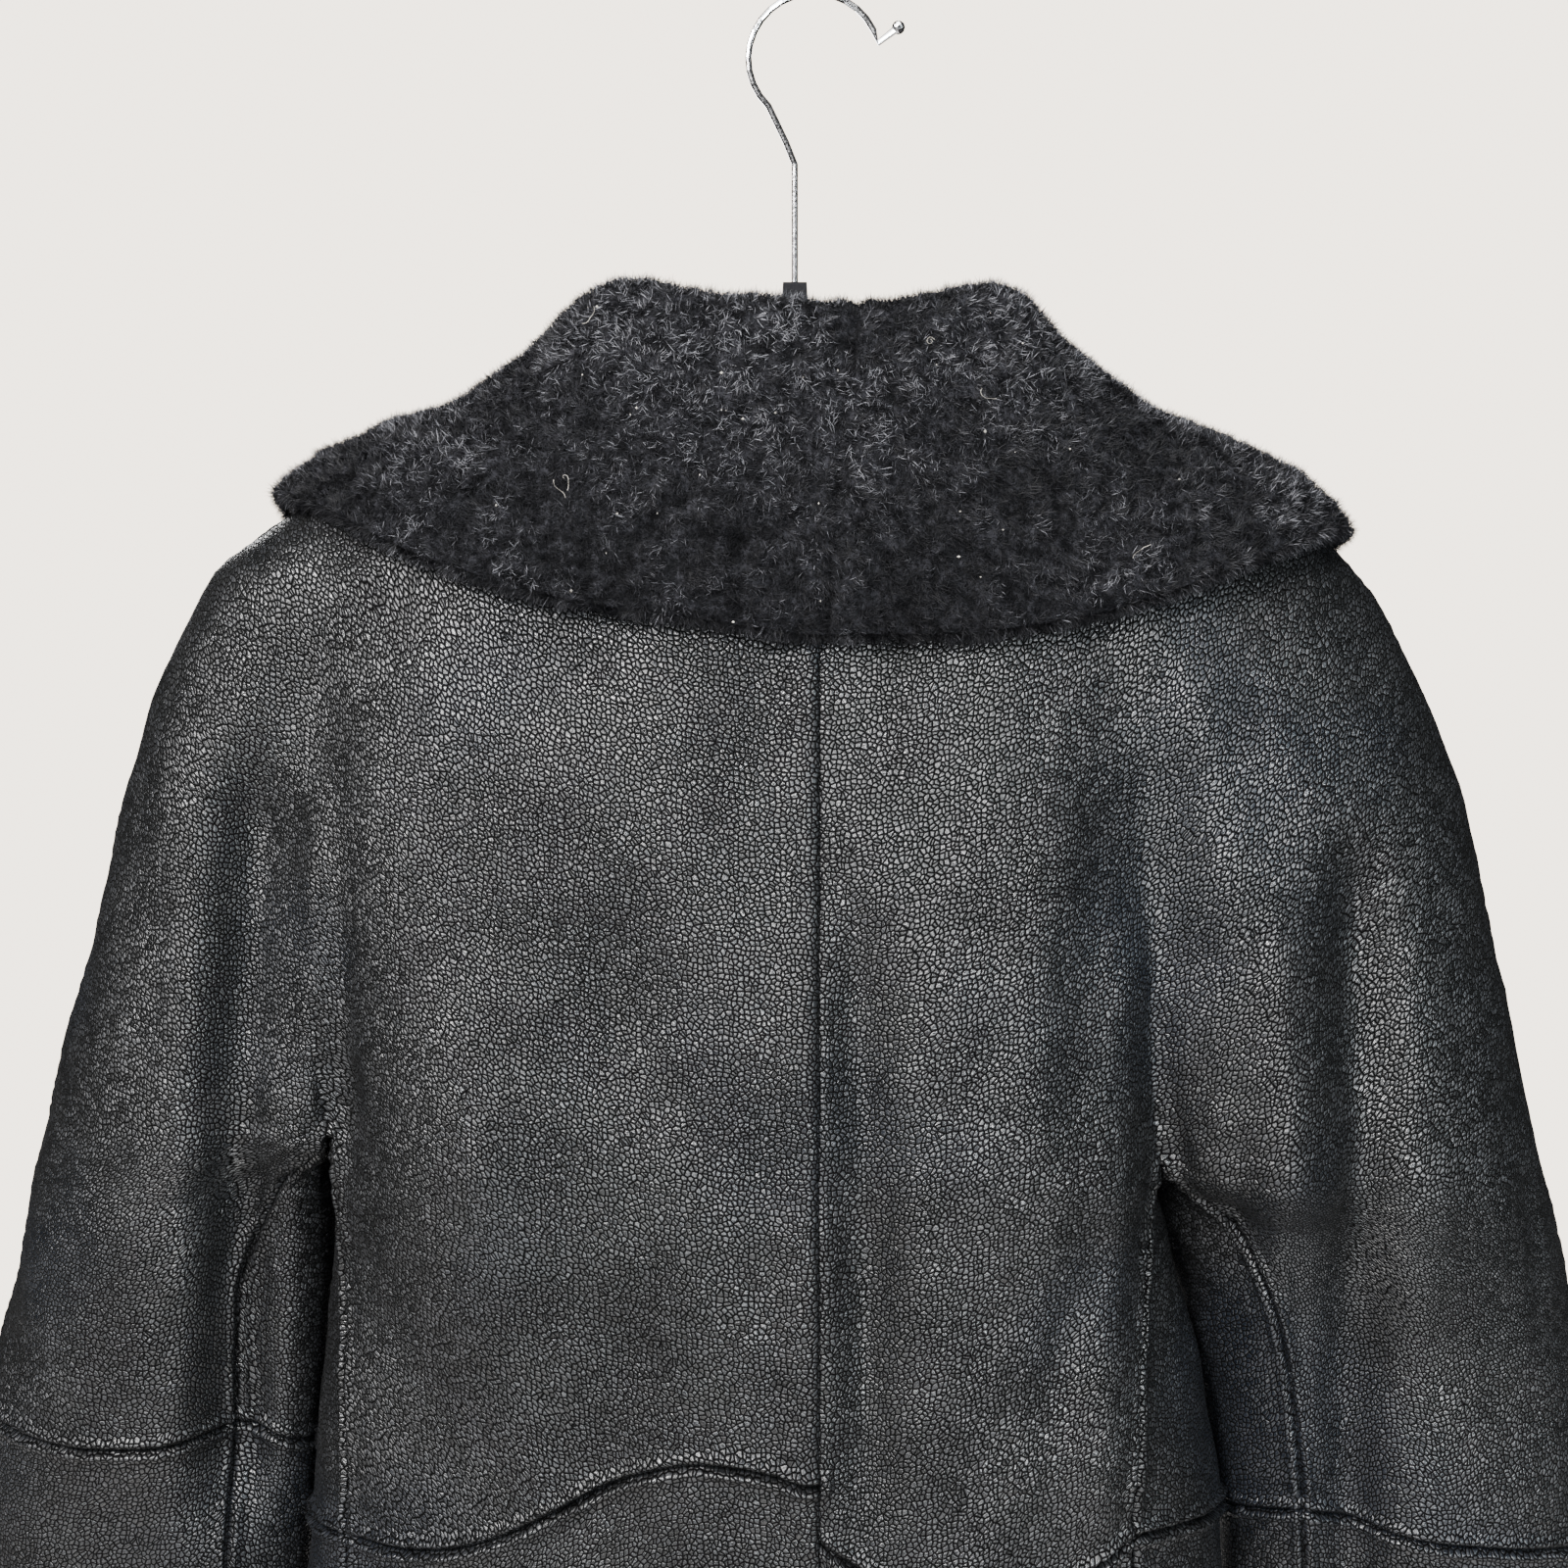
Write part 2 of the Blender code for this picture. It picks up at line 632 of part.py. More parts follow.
def arm_ring(x, ceiling):
    # A section across the hanger, raised until it nearly meets the shoulder's inner wall
    reach = abs(x)
    sizes = SIDES["left" if x >= 0 else "right"]
    neck_x = sizes["over_x"][0]
    over_y = smooth(sizes["over_x"][:4], sizes["over_y"][:4], max(reach, neck_x))
    over_z = smooth(sizes["over_x"][:4], sizes["over_z"][:4], max(reach, neck_x))
    end = math.sqrt(max(0.12, 1 - (reach / ARM_END_X) ** 10))
    half_y, half_z = ARM_HALF_Y * (0.6 + 0.4 * end), ARM_HIGH / 2 * end
    middle_z = over_z - ARM_DROP - half_z
    turns = [2 * math.pi * n / ARM_SIDES for n in range(ARM_SIDES)]
    ring = np.array([(x, over_y + half_y * math.sin(t), middle_z + half_z * math.cos(t))
                     for t in turns])
    if reach < ARM_NECK_X:
        top = ARM_NECK_TOP_Z + ARM_NECK_RISE * ease(1 - reach / ARM_RISE_X)
        rise = top - middle_z - half_z
    else:
        gaps = [ceiling.ray_cast(Vector(p), Vector((0, 0, 1)))[3] for p in ring
                if p[2] > middle_z]
        rise = min(gap for gap in gaps if gap is not None) - ARM_CLEAR
    return ring + np.array([0, 0, rise])


def hanger_rings(ceiling):
    # Sections from the wearer's right to the left
    places = np.linspace(-ARM_END_X, ARM_END_X, ARM_RINGS)
    return np.array([arm_ring(x, ceiling) for x in places])


def tube_mesh(rings):
    # Closed skin over a row of equal rings with flat ends
    count, sides = rings.shape[:2]
    faces = []
    for i in range(count - 1):
        for j in range(sides):
            k = (j + 1) % sides
            faces.append([i * sides + j, i * sides + k, (i + 1) * sides + k, (i + 1) * sides + j])
    faces.append(list(range(sides))[::-1])
    faces.append([(count - 1) * sides + j for j in range(sides)])
    return rings.reshape(-1, 3), faces


def hook_path():
    # Centre line of the wire from the tip round the bend to the hanger's neck
    middle = (0.0, WIRE_RADIUS - HOOK_RADIUS)
    points = [HOOK_TIP]
    for degrees in np.linspace(14, 226, 19):
        turn = math.radians(degrees)
        points.append((-HOOK_RADIUS * math.cos(turn), middle[1] + HOOK_RADIUS * math.sin(turn)))
    points += [HOOK_NECK, (HOOK_STEM_X, STEM_TOP_Z), (HOOK_STEM_X, NUB_TOP_Z + SEAM_GAP)]
    return points


def hook_mesh():
    path = [np.array([x, 0.0, z]) for x, z in hook_path()]
    across = np.array([0, 1.0, 0])
    tip_way = path[0] - path[1]
    tip_way /= np.linalg.norm(tip_way)
    rings = []
    for degrees in (12, 40, 65, 90, 120, 148):
        turn = math.radians(degrees)
        rings.append((path[0] + tip_way * TIP_RADIUS * math.cos(turn),
                      TIP_RADIUS * math.sin(turn), tip_way))
    for i in range(1, len(path)):
        way = path[i - 1] - path[min(i + 1, len(path) - 1)]
        rings.append((path[i], WIRE_RADIUS, way / np.linalg.norm(way)))
    shape = []
    for centre, radius, way in rings:
        flat = np.cross(across, way)
        shape.append([centre + radius * (math.cos(t) * across + math.sin(t) * flat)
                      for t in np.linspace(0, 2 * math.pi, WIRE_SIDES, endpoint=False)])
    return tube_mesh(np.array(shape))


def neck_rings():
    # The small neck block that takes the wire, tapering upwards
    rings = []
    for z, half_x in ((NUB_LOW_Z, NUB_HALF_X[1]), (NUB_TOP_Z, NUB_HALF_X[0])):
        rings.append([(HOOK_STEM_X + half_x * sx, NUB_HALF_Y * sy, z)
                      for sx, sy in ((-1, -1), (1, -1), (1, 1), (-1, 1))])
    return np.array(rings)


def material(name, colour, roughness, metallic=0.0):
    made = bpy.data.materials.new(name)
    made.use_nodes = True
    shader = made.node_tree.nodes["Principled BSDF"]
    shader.inputs["Base Color"].default_value = (*colour, 1)
    shader.inputs["Roughness"].default_value = roughness
    shader.inputs["Metallic"].default_value = metallic
    made.diffuse_color = (*colour, 1)
    return made


def add_object(name, points, faces, finish, shift_x=0.0):
    mesh = bpy.data.meshes.new(name)
    moved = (np.array(points) + np.array([shift_x, 0, 0])) * MM
    mesh.from_pydata(moved.tolist(), [], [list(map(int, face)) for face in faces])
    mesh.materials.append(finish)
    mesh.update()
    made = bpy.data.objects.new(name, mesh)
    bpy.context.scene.collection.objects.link(made)
    return made


def add_hanger(colour, ceiling):
    # Arms and neck block are joined by a union, so the hanger is one body
    arms = add_object("hanger_body", *tube_mesh(hanger_rings(ceiling)), colour, GARMENT_X)
    neck = add_object("hanger_neck_tool", *tube_mesh(neck_rings()), colour)
    neck.hide_render = True
    neck.display_type = "WIRE"
    union = arms.modifiers.new("neck block", "BOOLEAN")
    union.operation = "UNION"
    union.solver = "EXACT"
    union.object = neck


def build():
    for old in list(bpy.data.objects):
        bpy.data.objects.remove(old)
    leather = material("nappa_leather", (0.012, 0.013, 0.015), 0.45)
    wool = material("sheared_wool", (0.010, 0.010, 0.012), 0.95)
    plastic = material("hanger_plastic", (0.015, 0.015, 0.016), 0.4)
    chrome = material("chrome_wire", (0.6, 0.6, 0.6), 0.12, 1.0)

    panels = body_panels("left") + body_panels("right")
    skin = surface_tree([(panel.points, panel.faces) for panel in panels])
    panels += [collar_panel(side, skin) for side in ("left", "right")]
    seams = shared_normals(panels)
    linings = []
    for panel in panels:
        points, faces = wall_mesh(panel, seams)
        is_collar = panel.name.startswith("collar")
        add_object(panel.name, points, faces, wool if is_collar else leather, GARMENT_X)
        if not is_collar:
            linings.append((points[len(panel.points):], panel.faces))
    add_hanger(plastic, surface_tree(linings))
    add_object("hanger_hook", *hook_mesh(), chrome)


build()
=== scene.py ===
import math
from functools import partial

import bpy
import numpy as np
from numpy.linalg import norm
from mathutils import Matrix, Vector, noise
from mathutils.bvhtree import BVHTree


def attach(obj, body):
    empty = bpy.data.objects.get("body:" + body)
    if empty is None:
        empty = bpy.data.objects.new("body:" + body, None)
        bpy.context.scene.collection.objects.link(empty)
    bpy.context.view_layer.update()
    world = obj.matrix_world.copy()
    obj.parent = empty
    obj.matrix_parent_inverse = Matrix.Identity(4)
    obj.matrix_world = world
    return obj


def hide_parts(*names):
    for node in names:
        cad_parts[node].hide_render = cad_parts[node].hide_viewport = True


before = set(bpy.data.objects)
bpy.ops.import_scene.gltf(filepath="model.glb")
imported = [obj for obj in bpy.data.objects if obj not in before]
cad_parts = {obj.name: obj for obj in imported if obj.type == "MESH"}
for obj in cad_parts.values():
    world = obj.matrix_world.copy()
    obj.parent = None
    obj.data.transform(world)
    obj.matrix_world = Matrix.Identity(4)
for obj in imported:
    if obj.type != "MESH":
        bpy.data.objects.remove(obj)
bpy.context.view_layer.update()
print("frame loaded")

# Shearling jacket on its hanger, seen from behind. Lengths are millimetres until a mesh is made.
# +Z is up, the back faces +Y and the wearer's left is +X.
mm = 0.001
garmentX = 6.0           # centre back seam, to the left of the hook's inside top
sides = ("left", "right")
signOf = {"left": 1.0, "right": -1.0}
outward = {"back": 1, "front": -1}
rng = np.random.default_rng(7)
noise.seed_set(7)        # noise_vector takes its offsets from this seed


def table(columns, rows):
    return dict(zip(columns.split(), np.array(rows, dtype=float).T))


# The pattern: rows run from the neck seam (0) past the armpit (7) and waist seam (10) to the hem (13)
armpitRow, waistRow, hemRow = 7.0, 10.0, 13.0
centreLines = table("backZ frontZ backY frontY overY frontX", [
    (-200, -268, 52, 62, 8, 0),
    (-242, -292, 63, 64, 6, 1),
    (-285, -320, 74, 66, 4, 2),
    (-330, -352, 82, 69, 2, 4),
    (-375, -390, 87, 71, 0, 7),
    (-425, -435, 90, 73, -1, 11),
    (-480, -483, 93, 74, -2, 15),
    (-530, -530, 95, 75, -3, 18),
    (-575, -575, 94, 75, -4, 20),
    (-618, -620, 92, 74, -5, 20),
    (-661, -672, 90, 73, -6, 20),
    (-735, -740, 89, 72, -9, 20),
    (-808, -810, 88, 71, -12, 20),
    (-880, -880, 88, 70, -16, 20),
])
upperColumns = "overX overZ foldX dip"
upperRows = {
    "left": table(upperColumns, [
        (88, -195, 50, 0),
        (170, -214, 105, 0),
        (232, -241, 165, 1),
        (268, -268, 206, 6),
        (296, -320, 219, 15),
        (313, -378, 218, 22),
        (331, -447, 214, 28),
        (346, -512, 209, 33),
    ]),
    "right": table(upperColumns, [
        (88, -195, 44, 0),
        (166, -216, 88, 0),
        (226, -244, 125, 0),
        (257, -270, 142, 4),
        (284, -320, 148, 13),
        (305, -378, 149, 23),
        (323, -450, 152, 32),
        (343, -540, 157, 36),
    ]),
}
lowerColumns = "overX overZ sideX sideZ bodyX innerX innerZ armX armY"
lowerRows = {
    "left": table(lowerColumns, [
        (357, -560, 204, -572, 213, 236, -548, 213.4, 60),
        (366, -603, 201, -628, 218, 254, -600, 216.8, 55),
        (376, -644, 200, -696, 224, 256, -655, 221.7, 51),
        (381, -715, 203, -752, 227, 258, -722, 226.7, 47),
        (379, -787, 205, -813, 229, 258, -790, 229.5, 43),
        (372, -858, 206, -876, 230, 255, -855, 231, 39),
    ]),
    "right": table(lowerColumns, [
        (353, -592, 151, -580, 170, 189, -560, 164.2, 61),
        (361, -645, 146, -632, 184, 214, -618, 179.8, 56),
        (369, -705, 143, -690, 192, 224, -690, 193.3, 52),
        (367, -755, 146, -750, 194, 226, -745, 195.1, 48),
        (361, -806, 148, -812, 195, 226, -800, 196.1, 44),
        (352, -858, 150, -876, 196, 223, -855, 197, 40),
    ]),
}
waistWave = {"left": (0, 11, 2), "right": (-21, -34, 1)}   # drop at the centre, wave, half waves
elbowSag = {"left": -11, "right": -6}
shape = {
    "wall": 10.0,            # nappa skin with its short wool
    "frontEdge": 3.0,        # each front edge stands off the closing line
    "bodyMidY": 5.0,
    "bodySquare": 2.6,       # exponent of the body's section: 2 is an ellipse
    "armSquare": 2.3,
    "rowRise": 1.6,          # how late a row climbs to the overarm seam
    "dipReach": 32.0,        # how far the armpit fold spreads
    "frontDip": 0.68,        # depth of the front's armpit fold beside the back's
    "dipSharpen": 0.8,       # the fold is narrower at the shoulder and sharper at the armpit
    "frontArm": 0.85,        # depth of a sleeve's front half beside its back half
    "lap": 7.0,              # the left back panel laps this far over the right one
}
foldFade = {"ends": 60.0, "fromY": 12.0, "overY": 25.0}   # folds fade at their ends and to the front
# Largest folds on the back: ends, width, and height (a trough is minus)
folds = table("topX topZ lowX lowZ width height", [
    (242, -330, 256, -720, 15, -19),
    (-241, -370, -248, -780, 15, -15),
    (215, -350, 214, -540, 9, 7),
    (-205, -400, -210, -640, 11, 6),
    (202, -420, 199, -560, 7, -4),
    (150, -420, 138, -650, 30, 6),
    (96, -400, 60, -520, 24, -5),
    (-112, -350, -104, -600, 24, 6),
    (-142, -400, -136, -600, 15, 9),
    (-136, -560, -126, -720, 16, 9),
    (-24, -400, -28, -700, 13, -10),
    (70, -560, 96, -740, 24, -5),
    (-168, -300, -176, -380, 12, 4),
    (310, -660, 300, -840, 20, -5),
    (-300, -690, -290, -840, 20, -5),
])


def smoothAt(knots, values, at):
    # Cubic through the values with slopes that never overshoot them
    at = np.asarray(at, float)
    step = np.diff(knots)
    slope = np.diff(values) / step
    tangent = np.zeros(len(knots))
    tangent[0], tangent[-1] = slope[0], slope[-1]
    product = slope[:-1] * slope[1:]
    total = np.where(product > 0, slope[:-1] + slope[1:], 1.0)
    tangent[1:-1] = np.where(product > 0, 2 * product / total, 0.0)
    i = np.clip(np.searchsorted(knots, at) - 1, 0, len(knots) - 2)
    t = (at - knots[i]) / step[i]
    return ((2 * t**3 - 3 * t**2 + 1) * values[i] + (t**3 - 2 * t**2 + t) * step[i] * tangent[i]
            + (3 * t**2 - 2 * t**3) * values[i + 1] + (t**3 - t**2) * step[i] * tangent[i + 1])


def ease(t):
    t = np.clip(t, 0.0, 1.0)
    return t * t * (3 - 2 * t)


def climb(x, overX):
    return (np.abs(x) / overX) ** shape["rowRise"]


def sideRows(side):
    up, low = upperRows[side], lowerRows[side]
    rise = climb(up["foldX"], up["overX"])
    foldZ = centreLines["backZ"][:8] * (1 - rise) + up["overZ"] * rise
    pairs = {"overX": (up["overX"], low["overX"]), "overZ": (up["overZ"], low["overZ"]),
             "sideX": (up["foldX"], low["sideX"]), "innerX": (up["foldX"], low["innerX"]),
             "sideZ": (foldZ, low["sideZ"]), "innerZ": (foldZ, low["innerZ"]),
             "bodyX": (up["foldX"] + 2, low["bodyX"]), "armX": (up["foldX"] + 2, low["armX"]),
             "dip": (up["dip"], np.full(6, up["dip"][-1])),
             "foldX": (up["foldX"], (low["sideX"] + low["innerX"]) / 2),
             "armY": (np.full(8, low["armY"][0]), low["armY"])}
    whole = {name: np.concatenate(pair) for name, pair in pairs.items()}
    whole.update(centreLines)
    return whole


rowTables = {side: sideRows(side) for side in sides}
rowKnots = np.arange(14.0)


def rowSizes(side, rows):
    rows = np.asarray(rows, float).reshape(-1, 1)
    size = {name: smoothAt(rowKnots, values, rows) for name, values in rowTables[side].items()}
    above = rows <= armpitRow
    size["sideX"] = np.where(above, size["foldX"], size["sideX"])
    size["innerX"] = np.where(above, size["foldX"], size["innerX"])
    size["row"] = rows
    size["below"] = ease((rows - armpitRow) / 2)
    size["nearSeam"] = ease(1 - np.abs(rows - waistRow) / 2)
    return size


def arch(x, half, square):
    return np.sqrt(np.maximum(0.0, 1 - (np.abs(x) / half) ** square))


def aboveDepth(size, face, x, foldX):
    # Body and sleeve cut in one: an arch from centre to overarm seam, less the armpit fold
    out = outward[face]
    reach = size[face + "Y"] - out * size["overY"]
    past = np.maximum(0.0, (x - foldX) / (size["overX"] - foldX))
    power = 2 - shape["dipSharpen"] * np.clip((size["row"] - 3) / 4, 0, 1)
    dip = size["dip"] * (1 if face == "back" else shape["frontDip"])
    dip = dip * np.exp(-(np.abs(x - foldX) / shape["dipReach"]) ** power) * (1 - past**2)
    return size["overY"] + out * (reach * arch(x, size["overX"], shape["bodySquare"]) - dip)


def settled(size, above, below):
    # From the form at the armpit to the form below it
    return above * (1 - size["below"]) + below * size["below"]


def bodyDepth(size, face, x):
    out, middle = outward[face], shape["bodyMidY"]
    reach = size[face + "Y"] - out * middle
    above = aboveDepth(size, face, x, size["sideX"])
    below = middle + out * reach * arch(x, size["bodyX"], shape["bodySquare"])
    return settled(size, above, below)


def armReach(size, face):
    return size["armY"] * (1 if face == "back" else shape["frontArm"])


def armMiddle(size):
    return (size["overX"] + size["armX"]) / 2, (size["overX"] - size["armX"]) / 2


def armDepth(size, face, x):
    middle, half = armMiddle(size)
    above = aboveDepth(size, face, x, size["innerX"])
    bulge = arch(x - middle, half, shape["armSquare"])
    return settled(size, above, size["overY"] + outward[face] * armReach(size, face) * bulge)


def foldShift(x, y, z, lines):
    shift = np.zeros_like(x)
    for topX, topZ, lowX, lowZ, width, height in zip(*lines.values()):
        length = math.hypot(lowX - topX, lowZ - topZ)
        alongX, alongZ = (lowX - topX) / length, (lowZ - topZ) / length
        run = (x - topX) * alongX + (z - topZ) * alongZ
        off = (x - topX) * alongZ - (z - topZ) * alongX
        end = min(foldFade["ends"], length / 2)
        fade = ease(run / end) * ease((length - run) / end)
        shift += height * fade * np.exp(-(off / width) ** 2)
    return shift * ease((y - foldFade["fromY"]) / foldFade["overY"])


def place(side, x, y, z):
    x = x * signOf[side]
    x, y, z = np.broadcast_arrays(x, y, z)
    return np.stack([x, y + foldShift(x, y, z, folds), z], axis=-1)


def seamZ(size, face, x):
    # Height of a row that climbs from the centre to the overarm seam
    middleZ = size[face + "Z"]
    return middleZ + (size["overZ"] - middleZ) * climb(x, size["overX"])


def bodyGrid(side, face, rows, shares, start=None):
    size = rowSizes(side, rows)
    if start is None:
        start = shape["frontEdge"] + signOf[side] * size["frontX"] if face == "front" else (
            -signOf[side] * shape["lap"])
    x = start + (size["sideX"] - start) * np.asarray(shares)
    below = size[face + "Z"] + (size["sideZ"] - size[face + "Z"]) * climb(x, size["sideX"])
    z = np.where(size["row"] <= armpitRow, seamZ(size, face, x), below)
    if face == "back":
        drop, wave, halves = waistWave[side]
        across = np.clip(x / size["sideX"], 0, 1)
        z = z + (drop * (1 - across) + wave * np.sin(math.pi * halves * across)) * size["nearSeam"]
    return place(side, x, bodyDepth(size, face, x), z)


def armGrid(side, face, rows, shares):
    size = rowSizes(side, rows)
    shares = np.asarray(shares)
    spread = np.sin(math.pi / 2 * shares) / 2 + (1 - np.cos(math.pi * shares)) / 4
    x = size["innerX"] + (size["overX"] - size["innerX"]) * spread
    low = climb(size["innerX"], size["overX"])
    rise = (climb(x, size["overX"]) - low) / (1 - low)
    below = size["innerZ"] + (size["overZ"] - size["innerZ"]) * rise
    z = np.where(size["row"] <= armpitRow, seamZ(size, face, x), below)
    z = z + elbowSag[side] * np.sin(math.pi * shares) * size["nearSeam"]
    return place(side, x, armDepth(size, face, x), z)


def ringXY(size, share, seamX, endX, middle, half, square, seamShare, backReach, frontReach):
    # A panel that closes a ring between a back seam (share 1) and a front seam (share -1)
    backSeam, frontSeam = [aboveDepth(size, face, seamX, seamX) for face in outward]
    seamY = np.where(share > 0, backSeam, frontSeam)
    otherY = np.where(share > 0, frontSeam, backSeam)
    flatX = endX + (seamX - endX) * np.abs(share) ** 4
    flatY = (seamY + otherY) / 2 + (seamY - otherY) / 2 * np.abs(share)
    turn = np.arccos(np.minimum(1.0, seamShare ** (square / 2))) * share
    roundX = middle[0] + half * np.cos(turn) ** (2 / square)
    roundY = middle[1] + np.where(share > 0, backReach, frontReach) * np.sin(turn)
    return settled(size, flatX, roundX), settled(size, flatY, roundY)


def sideGrid(side, rows, shares):
    size, middleY = rowSizes(side, rows), shape["bodyMidY"]
    x, y = ringXY(size, 1 - 2 * np.asarray(shares), size["sideX"], size["bodyX"], (0.0, middleY),
                  size["bodyX"], shape["bodySquare"], size["sideX"] / size["bodyX"],
                  size["backY"] - middleY, size["frontY"] + middleY)
    return place(side, x, y, size["sideZ"] + 0 * x)


def underGrid(side, rows, shares):
    size = rowSizes(side, rows)
    middle, half = armMiddle(size)
    share = 1 - 2 * np.asarray(shares)
    x, y = ringXY(size, share, size["innerX"], size["armX"], (middle, size["overY"]), -half,
                  shape["armSquare"], np.minimum(1.0, (middle - size["innerX"]) / half),
                  armReach(size, "back"), armReach(size, "front"))
    z = size["innerZ"] + elbowSag[side] * (1 - share**2) * size["nearSeam"]
    return place(side, x, y, z)


# Spacing of the points: close together beside a seam, even between
mesh = {
    "backStep": 3.1, "frontStep": 5.6, "seamSteps": (0.9, 1.9, 3.0, 4.2, 5.6, 7.4),
    "bodyAt": 6.0, "ringAt": 9.5,    # rows whose lengths set the number of points across
}


def stops(length, step):
    near = [s for s in mesh["seamSteps"] if s < length * 0.3]
    first, last = (near[-1], length - near[-1]) if near else (0.0, length)
    count = max(2, int(math.ceil((last - first) / step)) + 1)
    middle = np.linspace(first, last, count)
    edge = np.array([0.0] + near[:-1]) if near else np.array([])
    return np.concatenate([edge, middle, length - edge[::-1]]) / length


def lineLength(points):
    return float(norm(np.diff(points, axis=0), axis=1).sum())


def runAlong(line):
    # Distance from a line's start to each of its points
    return np.concatenate([[0], np.cumsum(norm(np.diff(line, axis=0), axis=1))])


def runOver(patch, axis):
    # The same for a whole patch, down its columns (0) or along its rows (1)
    first = patch[:, :1] if axis else patch[:1]
    return np.cumsum(norm(np.diff(patch, axis=axis, prepend=first), axis=2), axis=axis)


def rowStops(gridAt, first, last, step):
    # Rows spaced evenly along the cloth, whatever their numbers
    fine = np.linspace(first, last, 120)
    line = gridAt(fine, [0.5])[:, 0]
    run = runAlong(line)
    rows = np.interp(stops(run[-1], step) * run[-1], run, fine)
    rows[0], rows[-1] = first, last
    return rows


def shareStops(gridAt, row, step):
    return stops(lineLength(gridAt([row], np.linspace(0, 1, 60))[0]), step)


grainShift, grainPlaces = 13.0, 97   # each piece is cut from another part of the patterned cloth


class Panel:
    # One cut piece: its skin points, its faces and the size of its cut
    def __init__(self, name, patches, flip, wall=None):
        self.name = name
        points, faces, cloth, start, reached = [], [], [], 0, 0.0
        for patch in patches:
            rows, columns = patch.shape[:2]
            # Where each point lies on the flat cloth: along its row and down from the top
            along, down = runOver(patch, 1), runOver(patch, 0)
            cloth.append(np.stack([along + reached, down, 0 * down], axis=-1).reshape(-1, 3))
            reached = (along + reached)[:, -1:]
            index = start + np.arange(rows * columns).reshape(rows, columns)
            quad = np.stack([index[:-1, :-1], index[:-1, 1:], index[1:, 1:], index[1:, :-1]], axis=-1)
            faces.append(quad.reshape(-1, 4))
            points.append(patch.reshape(-1, 3))
            start += rows * columns
        points, faces = np.concatenate(points), np.concatenate(faces)
        keys = np.round(points, 2)
        _, first, same = np.unique(keys, axis=0, return_index=True, return_inverse=True)
        self.points, faces = points[first], same.reshape(-1)[faces]
        self.cloth = np.concatenate(cloth)[first] + grainShift * (sum(map(ord, name)) % grainPlaces)
        self.faces = faces[:, ::-1] if flip else faces
        self.width = sum(max(lineLength(line) for line in patch) for patch in patches)
        self.length = max(lineLength(patch[:, j]) for patch in patches
                          for j in range(patch.shape[1]))
        self.wall = np.full(len(self.points), shape["wall"]) if wall is None else (
            np.concatenate([w.reshape(-1) for w in wall])[first])


def facePlanes(points, faces):
    a, b, c, d = (points[faces[:, k]] for k in range(4))
    return np.cross(c - a, d - b)


def normalised(vectors):
    return vectors / np.maximum(1e-9, norm(vectors, axis=1))[:, None]


def clothArea(points, faces):
    return float(norm(facePlanes(points, faces), axis=1).sum()) / 2


creaseForm = {"side": 0.4, "flat": 1.6}   # when faces on both sides of a seam make a crease


def starts(panels):
    # Number of each panel's first point when all are listed together
    return np.cumsum([0] + [len(panel.points) for panel in panels[:-1]])


def sharedNormals(panels):
    # Pieces that meet at a seam share one direction there, so their walls meet face to face
    points = np.concatenate([panel.points for panel in panels])
    _, same = np.unique(np.round(points, 1), axis=0, return_inverse=True)
    same = same.reshape(-1)
    owns = np.split(same, starts(panels)[1:])
    count = same.max() + 1
    total, toward = np.zeros((count, 3)), np.zeros((count, 3))
    low, high = np.zeros(count), np.zeros(count)
    for panel, own in zip(panels, owns):
        unit = normalised(facePlanes(panel.points, panel.faces))
        middle = panel.points[panel.faces].mean(1)
        for k in range(4):
            corner = own[panel.faces[:, k]]
            np.add.at(total, corner, unit)
            np.add.at(toward, corner, middle - panel.points[panel.faces[:, k]])
            np.minimum.at(low, corner, unit[:, 0])
            np.maximum.at(high, corner, unit[:, 0])
    crease = (low < -creaseForm["side"]) & (high > creaseForm["side"])
    facing = crease & (norm(total, axis=1) < creaseForm["flat"])
    total[facing] = toward[facing]
    total[crease, 0] = 0
    total = normalised(total)
    for panel, own in zip(panels, owns):
        panel.normals = total[own]


def bodyPanels(side):
    flipBack = side == "right"
    made = []
    for face in ("back", "front"):
        step = mesh[face + "Step"]
        flip = flipBack if face == "back" else not flipBack
        onBody, onArm = partial(bodyGrid, side, face), partial(armGrid, side, face)
        high = np.concatenate([rowStops(onBody, 0, armpitRow, step),
                               rowStops(onBody, armpitRow, waistRow, step)[1:]])
        across, out = [shareStops(grid, mesh["bodyAt"], step) for grid in (onBody, onArm)]
        made.append(Panel(f"{face}_{side}", [onBody(high, across), onArm(high, out)], flip))
        low = rowStops(onBody, waistRow, hemRow, step)
        made.append(Panel(f"lower_{face}_{side}", [onBody(low, across)], flip))
        made.append(Panel(f"forearm_{face}_{side}", [onArm(low, out)], flip))
        backRows = (high, low) if face == "back" else backRows
    high, low = backRows[0][backRows[0] >= armpitRow], backRows[1]
    step = mesh["backStep"]
    for names, grid, flip in ((("side_", "lower_side_"), sideGrid, flipBack),
                              (("undersleeve_", "forearm_under_"), underGrid, not flipBack)):
        gridAt = partial(grid, side)
        shares = shareStops(gridAt, mesh["ringAt"], step)
        for name, rows in zip(names, (high, low)):
            made.append(Panel(name + side, [gridAt(rows, shares)], flip))
    return made


